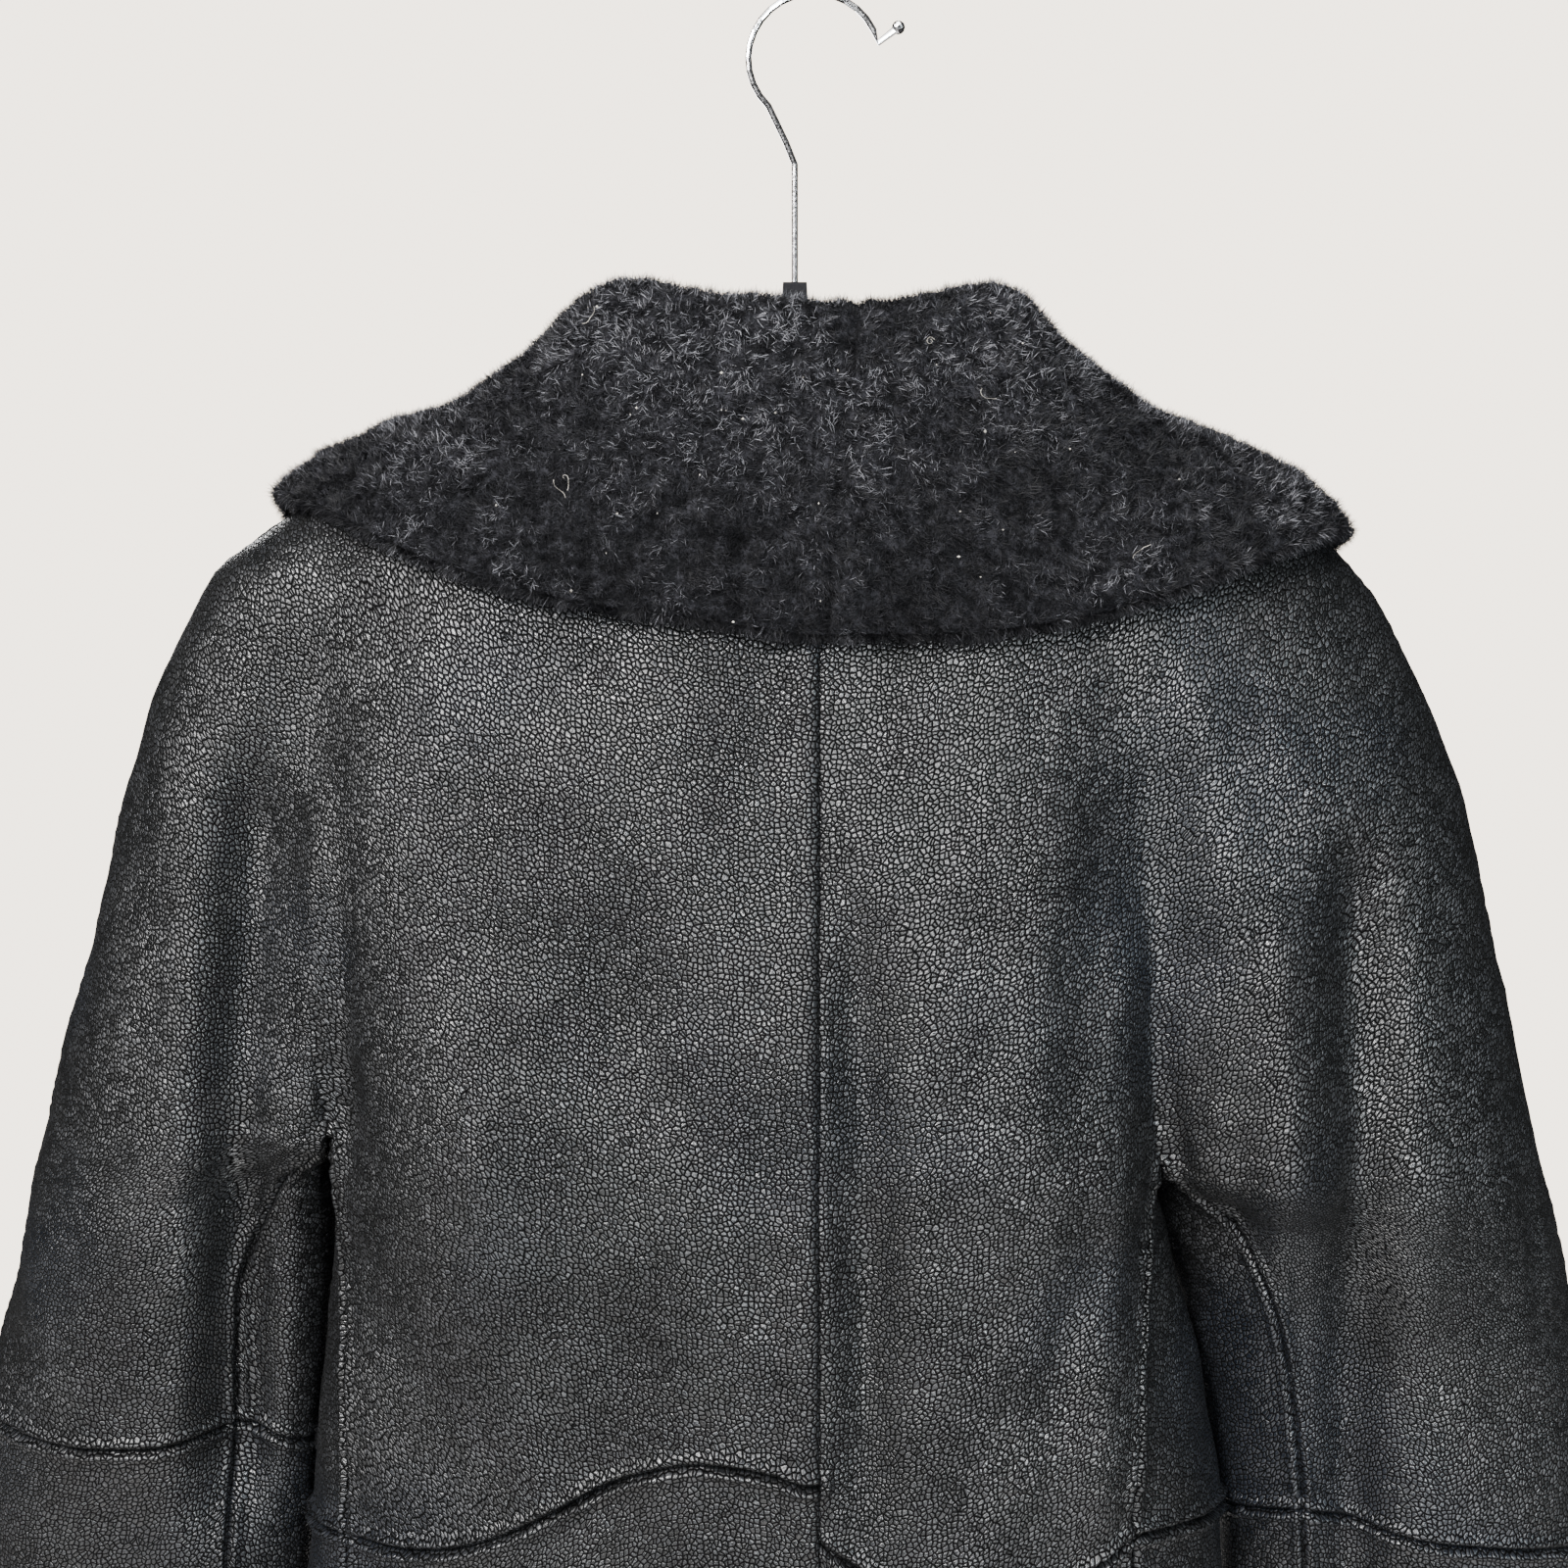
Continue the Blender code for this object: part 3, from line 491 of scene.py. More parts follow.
# Seams: where a cut ends, the hide rolls into a ridge on each side of a groove
seamForm = {
    "ridgeAt": 3.1, "ridgeWidth": 1.8, "grooveWidth": 1.2, "reach": 26.0,
    "puckerEvery": 7.5, "puckerReach": 10.0, "drift": 2.2, "driftEvery": 17.0,
    "uneven": ((0.25, 13.0, 3), (0.15, 5.1, 0)),     # share, length and shift of each waver
}
seamSizes = {                # ridge height, groove depth, pucker height
    "waist": (2.6, 1.8, 0.45), "elbow": (2.1, 1.6, 0.40), "side": (1.7, 1.5, 0.35),
    "armpit": (0.6, 0.8, 0.35), "overarm": (1.1, 1.4, 0.25),
}


def seamLines():
    fine = np.linspace(0, 1, 260)
    upper, lower = [np.linspace(a, b, 320) for a, b in ((0, hemRow), (armpitRow, hemRow))]
    lines = []
    for side in sides:
        for face in ("back", "front"):
            lines += [("waist", bodyGrid(side, face, [waistRow], fine)[0]),
                      ("elbow", armGrid(side, face, [waistRow], fine)[0]),
                      ("side", bodyGrid(side, face, lower, [1.0])[:, 0]),
                      ("side", armGrid(side, face, lower, [0.0])[:, 0])]
        lines += [("waist", sideGrid(side, [waistRow], fine)[0]),
                  ("elbow", underGrid(side, [waistRow], fine)[0]),
                  ("armpit", sideGrid(side, [armpitRow], fine)[0]),
                  ("overarm", armGrid(side, "back", upper, [1.0])[:, 0])]
    return lines


def alongSeam(points, line):
    # Distance from each point to a seam line, and how far along the line it lies
    run = runAlong(line)
    nearest, best = np.full(len(points), 1e9), np.zeros(len(points))
    low, high = line.min(0) - seamForm["reach"], line.max(0) + seamForm["reach"]
    close = np.flatnonzero(((points > low) & (points < high)).all(1))
    for chunk in np.array_split(close, max(1, len(close) // 4000)):
        gap = norm(points[chunk][:, None] - line[None], axis=2)
        at = gap.argmin(1)
        nearest[chunk] = gap[np.arange(len(chunk)), at]
        best[chunk] = run[at]
    return nearest, best


def seamHeight(points, lines):
    height = np.zeros(len(points))
    groove = np.zeros(len(points))
    for number, (kind, line) in enumerate(lines):
        ridge, depth, pucker = seamSizes[kind]
        gap, run = alongSeam(points, line)
        drift = seamForm["drift"] * np.sin(run / seamForm["driftEvery"] + number)
        wave = np.sin(run * (2 * math.pi / seamForm["puckerEvery"]) + drift)
        uneven = 1 + sum(share * np.sin(run / size + shift * number)
                         for share, size, shift in seamForm["uneven"])
        bump = ridge * uneven * np.exp(-((gap - seamForm["ridgeAt"]) / seamForm["ridgeWidth"]) ** 2)
        bump += pucker * wave * np.exp(-(gap / seamForm["puckerReach"]) ** 2) * (gap > 0.5)
        height = np.where(np.abs(bump) > np.abs(height), bump, height)
        groove = np.maximum(groove, depth * np.exp(-(gap / seamForm["grooveWidth"]) ** 2))
    return height - groove


lapForm = {
    "rise": 2.0, "stitchAt": 3.3, "stitchWidth": 0.9, "stitchDepth": 1.3, "stitchEvery": 3.2,
    "roll": 5.0, "rollDrop": 2.4, "riseOver": 8.0, "under": 0.9, "underOver": 3.0,
}


def lapHeight(points, isLeft):
    # The lapped seam down the centre of the back
    x = points[:, 0]
    height = np.zeros(len(points))
    if isLeft:
        off = x - lapForm["stitchAt"]
        stitch = 0.8 + 0.2 * np.sin(points[:, 2] * 2 * math.pi / lapForm["stitchEvery"])
        height += lapForm["rise"] * ease(1 - off / lapForm["riseOver"])
        height -= lapForm["stitchDepth"] * stitch * np.exp(-(off / lapForm["stitchWidth"]) ** 2)
        rolled = np.clip(1 - (x + shape["lap"]) / lapForm["roll"], 0, 1)
        height -= lapForm["rollDrop"] * rolled**2
    else:
        height -= lapForm["under"] * ease((x + shape["lap"]) / lapForm["underOver"] + 1)
    return height * (points[:, 1] > 0)


def noiseAt(points, size, seed, stretch=(1, 1, 1)):
    scaled = points / (size * np.array(stretch, float)) + seed
    return np.array([noise.noise(Vector(p)) for p in scaled])


hideForm = {
    "waves": ((4.0, 70, 3.1, 1.6), (1.8, 26, 7.7, 1.4), (0.20, 7, 1.3, 1)),   # height, size, seed, stretch
    "creases": 1.8, "creaseSize": 17, "creaseReach": 62,
}
# Small creases: ends, width and depth, where the cloth bends most
creases = table("topX topZ lowX lowZ width height", [
    (232, -470, 262, -560, 4.0, -1.8),
    (222, -500, 244, -590, 3.0, -1.5),
    (196, -470, 204, -560, 5.0, -1.6),
    (280, -420, 296, -520, 6.0, -1.2),
    (-170, -480, -158, -575, 5.0, -2.0),
    (-186, -500, -196, -600, 5.0, -1.8),
    (-206, -520, -226, -640, 4.0, -1.5),
    (-120, -500, -60, -640, 9.0, -1.4),
    (-138, -520, -96, -660, 8.0, -1.3),
    (-60, -470, -26, -600, 9.0, -1.2),
    (60, -470, 84, -590, 10.0, -1.0),
    (120, -560, 104, -660, 9.0, -1.1),
    (-250, -420, -262, -560, 7.0, -1.3),
    (-330, -520, -326, -640, 5.0, -1.2),
    (204, -546, 232, -550, 4.5, 2.0),
    (204, -557, 230, -563, 4.0, -1.8),
    (206, -568, 232, -577, 4.5, 1.8),
    (210, -592, 232, -606, 5.0, 1.4),
])


def hideHeight(points):
    # How unevenly the hide lies, and its sharper creases near the armpits
    height = np.zeros(len(points))
    for high, size, seed, stretch in hideForm["waves"]:
        height += high * noiseAt(points, size, seed, (1, 1, stretch))
    armpits = [np.array([signOf[side] * rowTables[side]["foldX"][7], 20.0,
                         rowTables[side]["sideZ"][7]]) for side in sides]
    gaps = [norm((points - armpit) / (1, 2, 1.4), axis=1) for armpit in armpits]
    near = sum(np.exp(-(gap / hideForm["creaseReach"]) ** 2) for gap in gaps)
    ridged = 1 - np.abs(noiseAt(points, hideForm["creaseSize"], 5.2, (1, 1, 0.55))) * 2
    height -= hideForm["creases"] * near * np.clip(ridged, 0, 1) ** 3
    shift = foldShift(points[:, 0], np.maximum(points[:, 1], 0), points[:, 2], creases)
    return height + shift


def openEdges(faces):
    # Directed edges that only one face uses
    pairs = np.concatenate([np.stack([faces[:, k], faces[:, (k + 1) % 4]], axis=1) for k in range(4)])
    size = faces.max() + 1
    there, back = pairs[:, 0] * size + pairs[:, 1], pairs[:, 1] * size + pairs[:, 0]
    return pairs[~np.isin(there, back)]


def addObject(name, data):
    made = bpy.data.objects.new(name, data)
    bpy.context.scene.collection.objects.link(made)
    return made


def addMesh(name, points, faces, finishes, faceFinish=None, smooth=True):
    made = bpy.data.meshes.new(name)
    moved = (np.asarray(points) + np.array([garmentX, 0, 0])) * mm
    made.from_pydata(moved.tolist(), [], [list(face) for face in faces])
    for finish in finishes:
        made.materials.append(finish)
    if faceFinish is not None:
        made.polygons.foreach_set("material_index", np.asarray(faceFinish, np.int32))
    made.polygons.foreach_set("use_smooth", np.full(len(made.polygons), smooth))
    made.update()
    return addObject(name, made)


hide = {"thick": 1.4, "fleeceUneven": 1.1, "fleeceSize": 6.0}


def wallMesh(panel, outer, inner, finishes):
    # A closed wall: the outer side, the inner side and the cut edge between them, in two strips
    edges = openEdges(panel.faces)
    count = len(outer)
    rim = np.unique(edges)
    slotOf = np.zeros(count, int)
    slotOf[rim] = np.arange(len(rim)) + 2 * count
    through = inner[rim] - outer[rim]
    depth = norm(through, axis=1)[:, None]
    middle = outer[rim] + through / depth * np.minimum(hide["thick"], depth / 2)
    points = np.concatenate([outer, inner, middle])
    a, b = edges[:, 0], edges[:, 1]
    first = np.stack([b, a, slotOf[a], slotOf[b]], axis=1)
    second = np.stack([slotOf[b], slotOf[a], a + count, b + count], axis=1)
    faces = np.concatenate([panel.faces, panel.faces[:, ::-1] + count, first, second])
    inside = [len(panel.faces), len(panel.faces), len(first), len(second)]
    finish = np.repeat([0, 1, 0, 1], inside)
    piece = addMesh("cloth_" + panel.name, points, faces.tolist(), finishes, finish)
    flat = piece.data.attributes.new("cloth", "FLOAT_VECTOR", "POINT")
    places = np.concatenate([panel.cloth, panel.cloth, panel.cloth[rim]]) * mm
    flat.data.foreach_set("vector", places.ravel())
    return piece


# The collar: share of the neck seam's length, stand, lift off the body, and the outer edge
collarColumns = "share stand lift edgeX edgeY edgeZ"
collarLines = {
    "left": table(collarColumns, [
        (0.000, 25, 3, 0, 80, -302),
        (0.120, 28, 3, 60, 80, -293),
        (0.190, 31, 3, 97, 77, -288),
        (0.240, 33, 3, 125, 73, -281),
        (0.290, 33, 3, 153, 67, -272),
        (0.340, 31, 4, 184, 56, -259),
        (0.385, 26, 5, 214, 37, -244),
        (0.430, 21, 7, 238, 6, -236),
        (0.470, 20, 9, 238, -20, -247),
        (0.530, 18, 6, 228, -46, -276),
        (0.670, 16, 3, 196, -68, -335),
        (0.830, 13, 3, 164, -78, -382),
        (1.000, 10, 3, 132, -84, -420),
    ]),
    "right": table(collarColumns, [
        (0.000, 25, 3, 0, 80, -302),
        (0.120, 27, 3, 62, 80, -302),
        (0.190, 29, 3, 99, 78, -298),
        (0.240, 31, 3, 128, 74, -292),
        (0.290, 32, 3, 158, 67, -283),
        (0.340, 31, 4, 192, 55, -271),
        (0.385, 26, 5, 224, 37, -259),
        (0.430, 21, 7, 250, 6, -250),
        (0.470, 20, 9, 247, -20, -258),
        (0.530, 18, 6, 234, -46, -284),
        (0.670, 16, 3, 198, -68, -337),
        (0.830, 13, 3, 164, -78, -382),
        (1.000, 10, 3, 132, -84, -420),
    ]),
}
collarForm = {
    "wall": 15.0, "edgeWall": 9.0, "rollRadius": 7.0, "standLean": 0.12, "sag": 7.0,
    "pile": 3.0,             # the woolly surface lies this far under the tips of the pile
    "stations": 204, "standRows": 5, "rollRows": 11, "fallRows": 42, "thinRows": 8, "evened": 6,
    "waves": 2.6, "waveSize": 46, "lumps": 2.6, "lumpSize": 15, "curls": 1.9, "curlSize": 7.0,
    # Above brushedZ the pile's tone is also painted paler, as light from above
    "brushedZ": -215, "brushed": 0.55,   # above this height the pile is brushed smoother
    "joinX": -17.0,          # the join of the two halves shows a little to the right of the centre
    "joinLean": 0.10, "joinWidth": 2.2, "joinDepth": 2.6,
}


def neckLine(side, count):
    # The neck seam from centre back over the shoulder to the front edge
    fine = np.linspace(0, 1, 80)
    line = np.concatenate([bodyGrid(side, "back", [0], fine, 0.0)[0],
                           armGrid(side, "back", [0], fine)[0][1:],
                           armGrid(side, "front", [0], fine)[0][::-1][1:],
                           bodyGrid(side, "front", [0], fine)[0][::-1][1:]])
    run = runAlong(line)
    at = np.linspace(0, run[-1], count)
    even = np.stack([np.interp(at, run, line[:, k]) for k in range(3)], axis=1)
    return even, at / run[-1]


def seat(point, body, lift, pull):
    near, normal, _, _ = body.find_nearest(Vector(point))
    near, normal = np.array(near), np.array(normal)
    if pull or float(np.dot(point - near, normal)) < lift:
        return near + normal * lift
    return point


def evened(patch, passes):
    # Takes small kinks out of the collar's lines and leaves its borders where they are
    for _ in range(passes):
        around = patch[1:-1, :-2] + patch[1:-1, 2:] + patch[:-2, 1:-1] + patch[2:, 1:-1]
        patch = patch.copy()
        patch[1:-1, 1:-1] = patch[1:-1, 1:-1] / 2 + around / 8
    return patch


def collarPanel(side, body):
    form = collarForm
    neck, shares = neckLine(side, form["stations"])
    sizes = {name: smoothAt(collarLines[side]["share"], values, shares)
             for name, values in collarLines[side].items()}
    tangents = np.gradient(neck, axis=0)
    lines = []
    for i, start in enumerate(neck):
        edge = np.array([signOf[side] * sizes["edgeX"][i], sizes["edgeY"][i], sizes["edgeZ"][i]])
        edge = seat(edge, body, sizes["lift"][i], True)
        away = signOf[side] * np.array([-tangents[i][1], tangents[i][0], 0])
        toward = (edge - start) * np.array([1, 1, 0])
        away = away / norm(away) + toward / norm(toward)
        away /= norm(away)
        up = np.array([0, 0, 1.0]) + form["standLean"] * away
        top = start + up * sizes["stand"][i] + away * form["rollRadius"]
        line = [start + up * sizes["stand"][i] * t
                for t in np.linspace(0, 1, form["standRows"], endpoint=False)]
        for turn in np.radians(np.linspace(180, 20, form["rollRows"])):
            line.append(top + form["rollRadius"] * (math.cos(turn) * away
                                                    + math.sin(turn) * np.array([0, 0, 1.0])))
        fall = line[-1]
        for t in np.linspace(0, 1, form["fallRows"])[1:-1]:
            point = fall * (1 - t) + edge * t
            point[2] -= form["sag"] * math.sin(math.pi * t) * abs(away[0])
            line.append(seat(point, body, sizes["lift"][i], False))
        line.append(edge)
        if i == 0:
            line = [p * np.array([0, 1, 1]) for p in line]
        lines.append(line)
    patch = evened(np.array(lines).transpose(1, 0, 2), form["evened"])
    wall = np.full(patch.shape[:2], form["wall"])
    wall[:form["standRows"]] = np.linspace(shape["wall"], form["wall"], form["standRows"])[:, None]
    thin = np.linspace(1, 0, form["thinRows"])[:, None]
    wall[-form["thinRows"]:] = form["edgeWall"] + (form["wall"] - form["edgeWall"]) * thin
    made = Panel("collar_" + side, [patch], side == "left", [wall])
    made.edge = patch[-1]
    made.fall = patch[-1] - patch[-6]
    return made


def woolHeight(points):
    # The pile lies in waves, lumps and small curls, parted along the join and brushed at the top
    form = collarForm
    rough = 1 - form["brushed"] * ease((points[:, 2] - form["brushedZ"] + 25) / 50)
    height = form["waves"] * noiseAt(points, form["waveSize"], 2.3)
    height += form["lumps"] * rough * noiseAt(points, form["lumpSize"], 9.1)
    height += form["curls"] * rough * noiseAt(points, form["curlSize"], 4.4)
    off = points[:, 0] - form["joinX"] + (points[:, 2] + 220) * form["joinLean"]
    height -= form["joinDepth"] * np.exp(-(off / form["joinWidth"]) ** 2) * (points[:, 1] > 20)
    return height - form["pile"]


def woolToneWithPaintedLight(points, height):
    # Painted light and shade: high lumps are painted lighter and the low partings between them darker, as
    # shade, and the brushed top is painted paler, as light from above; random patches vary the tone too
    form = collarForm
    tone = toneForm["base"] + toneForm["shadeByHeight"] * (height + form["pile"])
    tone += sum(share * noiseAt(points, size, seed) for share, size, seed in toneForm["patches"])
    tone += toneForm["brushed"] * ease((points[:, 2] - form["brushedZ"] + 35) / 60)
    return np.clip(tone, 0.04, 1.0)


# Tone of the pile: painted shade by height, a painted paler top as light from above, and random patches
toneForm = {
    "base": 0.23, "shadeByHeight": 0.06, "brushed": 0.13,
    "patches": ((0.09, 34, 12.5), (0.10, 12, 8.8)),      # share, size and seed
}
pileForm = {
    "length": 5.2, "width": 0.36, "lean": 0.95, "clumpSize": 7.0, "fineSize": 2.6, "fine": 0.8,
    "combDown": 0.35, "count": 172000, "edgeCount": 20000, "edgeLength": 6.6,
    # In the partings the fibres are painted darker: painted shade between the curls
    "partSize": 5.5, "partWidth": 0.22, "partingShade": 0.10, "partLength": 0.5,
    "clumpLean": 2.2, "fineLean": 0.8, "twist": 0.35, "lengths": (0.65, 1.15), "widths": (0.6, 1.3),
    "tones": (0.25, 2.2, 0.9),       # least, added at random, and most
}


def strands(points, faces, normals, tones, form, count, length):
    # Wool fibres as long thin triangles that lean in clumps over a surface
    triangles = np.concatenate([faces[:, [0, 1, 2]], faces[:, [0, 2, 3]]])
    corner = points[triangles]
    areas = norm(np.cross(corner[:, 1] - corner[:, 0], corner[:, 2] - corner[:, 0]), axis=1)
    chosen = rng.choice(len(triangles), count, p=areas / areas.sum())
    u, v = rng.random((2, count, 1))
    over = (u + v) > 1
    u, v = np.where(over, 1 - u, u), np.where(over, 1 - v, v)
    weights = (1 - u - v, u, v)
    root = sum(w * corner[chosen, k] for k, w in enumerate(weights))
    normal = sum(w * normals[triangles[chosen, k]] for k, w in enumerate(weights))
    normal = normalised(normal)
    tone = sum(w[:, 0] * tones[triangles[chosen, k]] for k, w in enumerate(weights))
    # Partings wander between the curls: there the fibres are shorter and painted darker, as shade
    parting = ease(np.abs(noiseAt(root, form["partSize"], 3.7, (1, 1, 0.8))) / form["partWidth"])
    tone = tone * (form["partingShade"] + (1 - form["partingShade"]) * parting)
    length = length * (form["partLength"] + (1 - form["partLength"]) * parting)[:, None]
    lean = clumpLean(root, form) + np.array([0, 0, -1]) * form["combDown"]
    lean += rng.normal(0, form["fine"], root.shape)
    lean -= normal * (lean * normal).sum(1)[:, None]
    way = normalised(normal + lean * form["lean"])
    across = normalised(np.cross(way, normal + rng.normal(0, form["twist"], root.shape)))
    length = length * rng.uniform(*form["lengths"], (count, 1))
    half = form["width"] / 2 * rng.uniform(*form["widths"], (count, 1))
    strand = np.stack([root - across * half, root + across * half, root + way * length], axis=1)
    flat = np.cross(strand[:, 1] - strand[:, 0], strand[:, 2] - strand[:, 0])
    turned = (flat * normal).sum(1) < 0
    strand[turned] = strand[turned][:, [1, 0, 2]]
    least, added, most = form["tones"]
    return strand, np.minimum(most, tone * (least + added * rng.random(count) ** 2))


def pileMesh(name, parts, finish):
    strand = np.concatenate([part[0] for part in parts])
    tone = np.clip(np.concatenate([part[1] for part in parts]), 0, 1)
    order = np.arange(len(strand) * 3).reshape(-1, 3)
    piece = addMesh(name, strand.reshape(-1, 3), order.tolist(), [finish], smooth=False)
    layer = piece.data.uv_layers.new(name="fibre")
    # The fibre's tone, with its painted light and shade, rides in the UV's first coordinate
    uv = np.stack([np.repeat(tone, 3), np.tile([0.0, 0.0, 1.0], len(strand))], axis=1)
    layer.data.foreach_set("uv", uv.astype(np.float32).ravel())
    return piece


def edgeStrands(panel, woolly, tones, form):
    # The pile also stands out past the cut edge of the collar and hides the thickness of the hide
    edges = openEdges(panel.faces)
    near = [norm(panel.edge - point, axis=1) for point in panel.points]
    station = np.array([gap.argmin() for gap in near])
    atEdge = np.array([gap.min() for gap in near]) < 0.05
    edges = edges[atEdge[edges].all(1)]
    count = len(panel.points)
    faces = np.stack([edges[:, 1], edges[:, 0], edges[:, 0] + count, edges[:, 1] + count], axis=1)
    out = normalised(panel.fall[station])
    points = np.concatenate([panel.points, woolly])
    normals = np.concatenate([out, out - 0.6 * panel.normals])
    return strands(points, faces, normals, np.tile(tones, 2), form, form["edgeCount"], form["edgeLength"])


lintForm = {
    "specks": 34, "size": 0.75, "curls": 6, "steps": 12, "step": 0.9, "width": 0.11, "above": 4.6,
    "fromY": 55, "fromZ": -305, "radii": (0.4, 1.2), "turn": 0.3, "turnDrift": 0.35,
}
octahedron = ((0, 2, 4), (2, 1, 4), (1, 3, 4), (3, 0, 4), (2, 0, 5), (1, 2, 5), (3, 1, 5), (0, 3, 5))


def lintMesh(points, out, finish):
    # A few pale specks and stray curly fibres are caught in the pile of the collar's back
    form = lintForm
    here = np.flatnonzero((points[:, 1] > form["fromY"]) & (points[:, 2] > form["fromZ"]))
    spots = rng.choice(here, form["specks"] + form["curls"], replace=False)
    vertices, faces = [], []
    for spot in spots[:form["specks"]]:
        centre = points[spot] + out[spot] * form["above"]
        start, radius = len(vertices), form["size"] * rng.uniform(*form["radii"])
        for axis in range(3):
            for way in (1, -1):
                reach = way * radius * rng.uniform(*form["radii"])
                vertices.append(centre + np.eye(3)[axis] * reach)
        faces += [(start + a, start + b, start + c) for a, b, c in octahedron]
    for spot in spots[form["specks"]:]:
        at = points[spot] + out[spot] * form["above"]
        heading, turn = rng.uniform(0, 2 * math.pi), rng.uniform(-form["turn"], form["turn"])
        start = len(vertices)
        for _ in range(form["steps"]):
            way = np.array([math.cos(heading), 0.0, math.sin(heading)])
            side = np.cross(way, out[spot])
            for corner in (0, 1, 2):
                around = 2 * math.pi * corner / 3
                aside = math.cos(around) * side + math.sin(around) * out[spot]
                vertices.append(at + form["width"] * aside)
            at = at + way * form["step"]
            turn += rng.uniform(-form["turnDrift"], form["turnDrift"])
            heading += turn
        for k in range(form["steps"] - 1):
            for corner in (0, 1, 2):
                a, b = start + 3 * k + corner, start + 3 * k + (corner + 1) % 3
                faces.append((a, b, b + 3, a + 3))
        last = start + 3 * (form["steps"] - 1)
        faces += [(start + 2, start + 1, start), (last, last + 1, last + 2)]
    return addMesh("lint", np.array(vertices), faces, [finish])


def clumpLean(points, form):
    # Neighbouring fibres lean the same way, so the pile gathers in clumps
    cell = form["clumpSize"] / 2
    keys = np.floor(points / cell).astype(int)
    _, first, same = np.unique(keys, axis=0, return_index=True, return_inverse=True)
    lean = np.zeros((len(first), 3))
    for row, point in enumerate(points[first]):
        for size, amount in (("clumpSize", "clumpLean"), ("fineSize", "fineLean")):
            lean[row] += np.array(noise.noise_vector(Vector(point / form[size]))) * form[amount]
    return lean[same.reshape(-1)]


# Finishes
def linear(hexColour):
    # sRGB hex to the linear values the shader takes
    values = [int(hexColour[i:i + 2], 16) / 255 for i in (1, 3, 5)]
    return (*[v / 12.92 if v <= 0.04045 else ((v + 0.055) / 1.055) ** 2.4 for v in values], 1.0)


def feed(tree, socket, value):
    # Links an output to a socket, or sets the socket to a number, a vector or a hex colour
    if isinstance(value, bpy.types.NodeSocket):
        tree.links.new(value, socket)
    else:
        socket.default_value = linear(value) if isinstance(value, str) else value


def addNode(tree, kind, inputs=None, **settings):
    made = tree.nodes.new("ShaderNode" + kind)
    for name, value in settings.items():
        setattr(made, name, value)
    for name, value in (inputs or {}).items():
        feed(tree, made.inputs[name], value)
    return made


def newMaterial(name):
    made = bpy.data.materials.new(name)
    made.use_nodes = True
    return made, made.node_tree


def objectAt(tree):
    return addNode(tree, "TexCoord").outputs["Object"]


def setShader(material, inputs):
    tree = material.node_tree
    for name, value in inputs.items():
        feed(tree, tree.nodes["Principled BSDF"].inputs[name], value)
    return material


def perMetre(sizeMm):
    return 1000.0 / sizeMm


def noiseNode(tree, at, size, detail):
    return addNode(tree, "TexNoise", {"Vector": at, "Scale": perMetre(size), "Detail": detail})


def noiseTone(tree, at, size, detail):
    return noiseNode(tree, at, size, detail).outputs["Fac"]


def spread(tree, value, fromLow, fromHigh, toLow=0.0, toHigh=1.0):
    return addNode(tree, "MapRange", {
        "Value": value, "From Min": fromLow, "From Max": fromHigh,
        "To Min": toLow, "To Max": toHigh}, interpolation_type="SMOOTHSTEP").outputs["Result"]


def mixColour(tree, share, first, second):
    return addNode(tree, "Mix", {0: share, 6: first, 7: second}, data_type="RGBA").outputs[2]


def mixValue(tree, share, first, second):
    return addNode(tree, "Mix", {0: share, 2: first, 3: second}).outputs[0]


def maths(tree, operation, *values):
    return addNode(tree, "Math", dict(enumerate(values)), operation=operation).outputs[0]


def vectorMaths(tree, operation, *values, result=0):
    return addNode(tree, "VectorMath", dict(enumerate(values)), operation=operation).outputs[result]


def bumpNormal(tree, height, distance, strength):
    return addNode(tree, "Bump", {"Height": height, "Distance": distance * mm,
                                  "Strength": strength}).outputs[0]


nappaLook = {
    # The crack colour and crack shine paint shade into the cracks: near-black, with almost no reflection
    "crackShade": "#020202", "top": "#08090a", "rubbed": "#18191b", "cool": "#0d1118",
    "cell": 2.2, "fineCell": 1.4, "random": 0.9, "warp": 1.2, "tooth": 0.7,
    "relief": 0.22, "fineRelief": 0.05, "toothRelief": 0.05, "tilt": 0.32,    # mm, and slope
    "warpSize": 8, "patchSize": 48, "coolSheenSize": 120, "roughSize": 18,
    "crackEdge": (0.05, 0.28), "fineEdge": (0.03, 0.20),     # shares of a cell, from its border
    "domeEdge": (0.0, 0.34), "fineDomeEdge": (0.0, 0.26),
    # The blue cool colour, laid in large random patches, is a painted reflection of cool light
    "fineHere": (0.42, 0.62, 0.1, 0.75), "rubbedHere": (0.08, 0.42), "coolSheenHere": (0.5, 0.68, 0.0, 0.7),
    "roughHere": (0.35, 0.65, 0.18, 0.38), "roughCrack": 0.85, "crackShadeShine": (0.03, 0.03, 0.03, 1.0),
}


def grainNode(tree, at, size, feature):
    return addNode(tree, "TexVoronoi", {
        "Vector": at, "Scale": perMetre(size), "Randomness": nappaLook["random"]},
        voronoi_dimensions="2D", feature=feature)


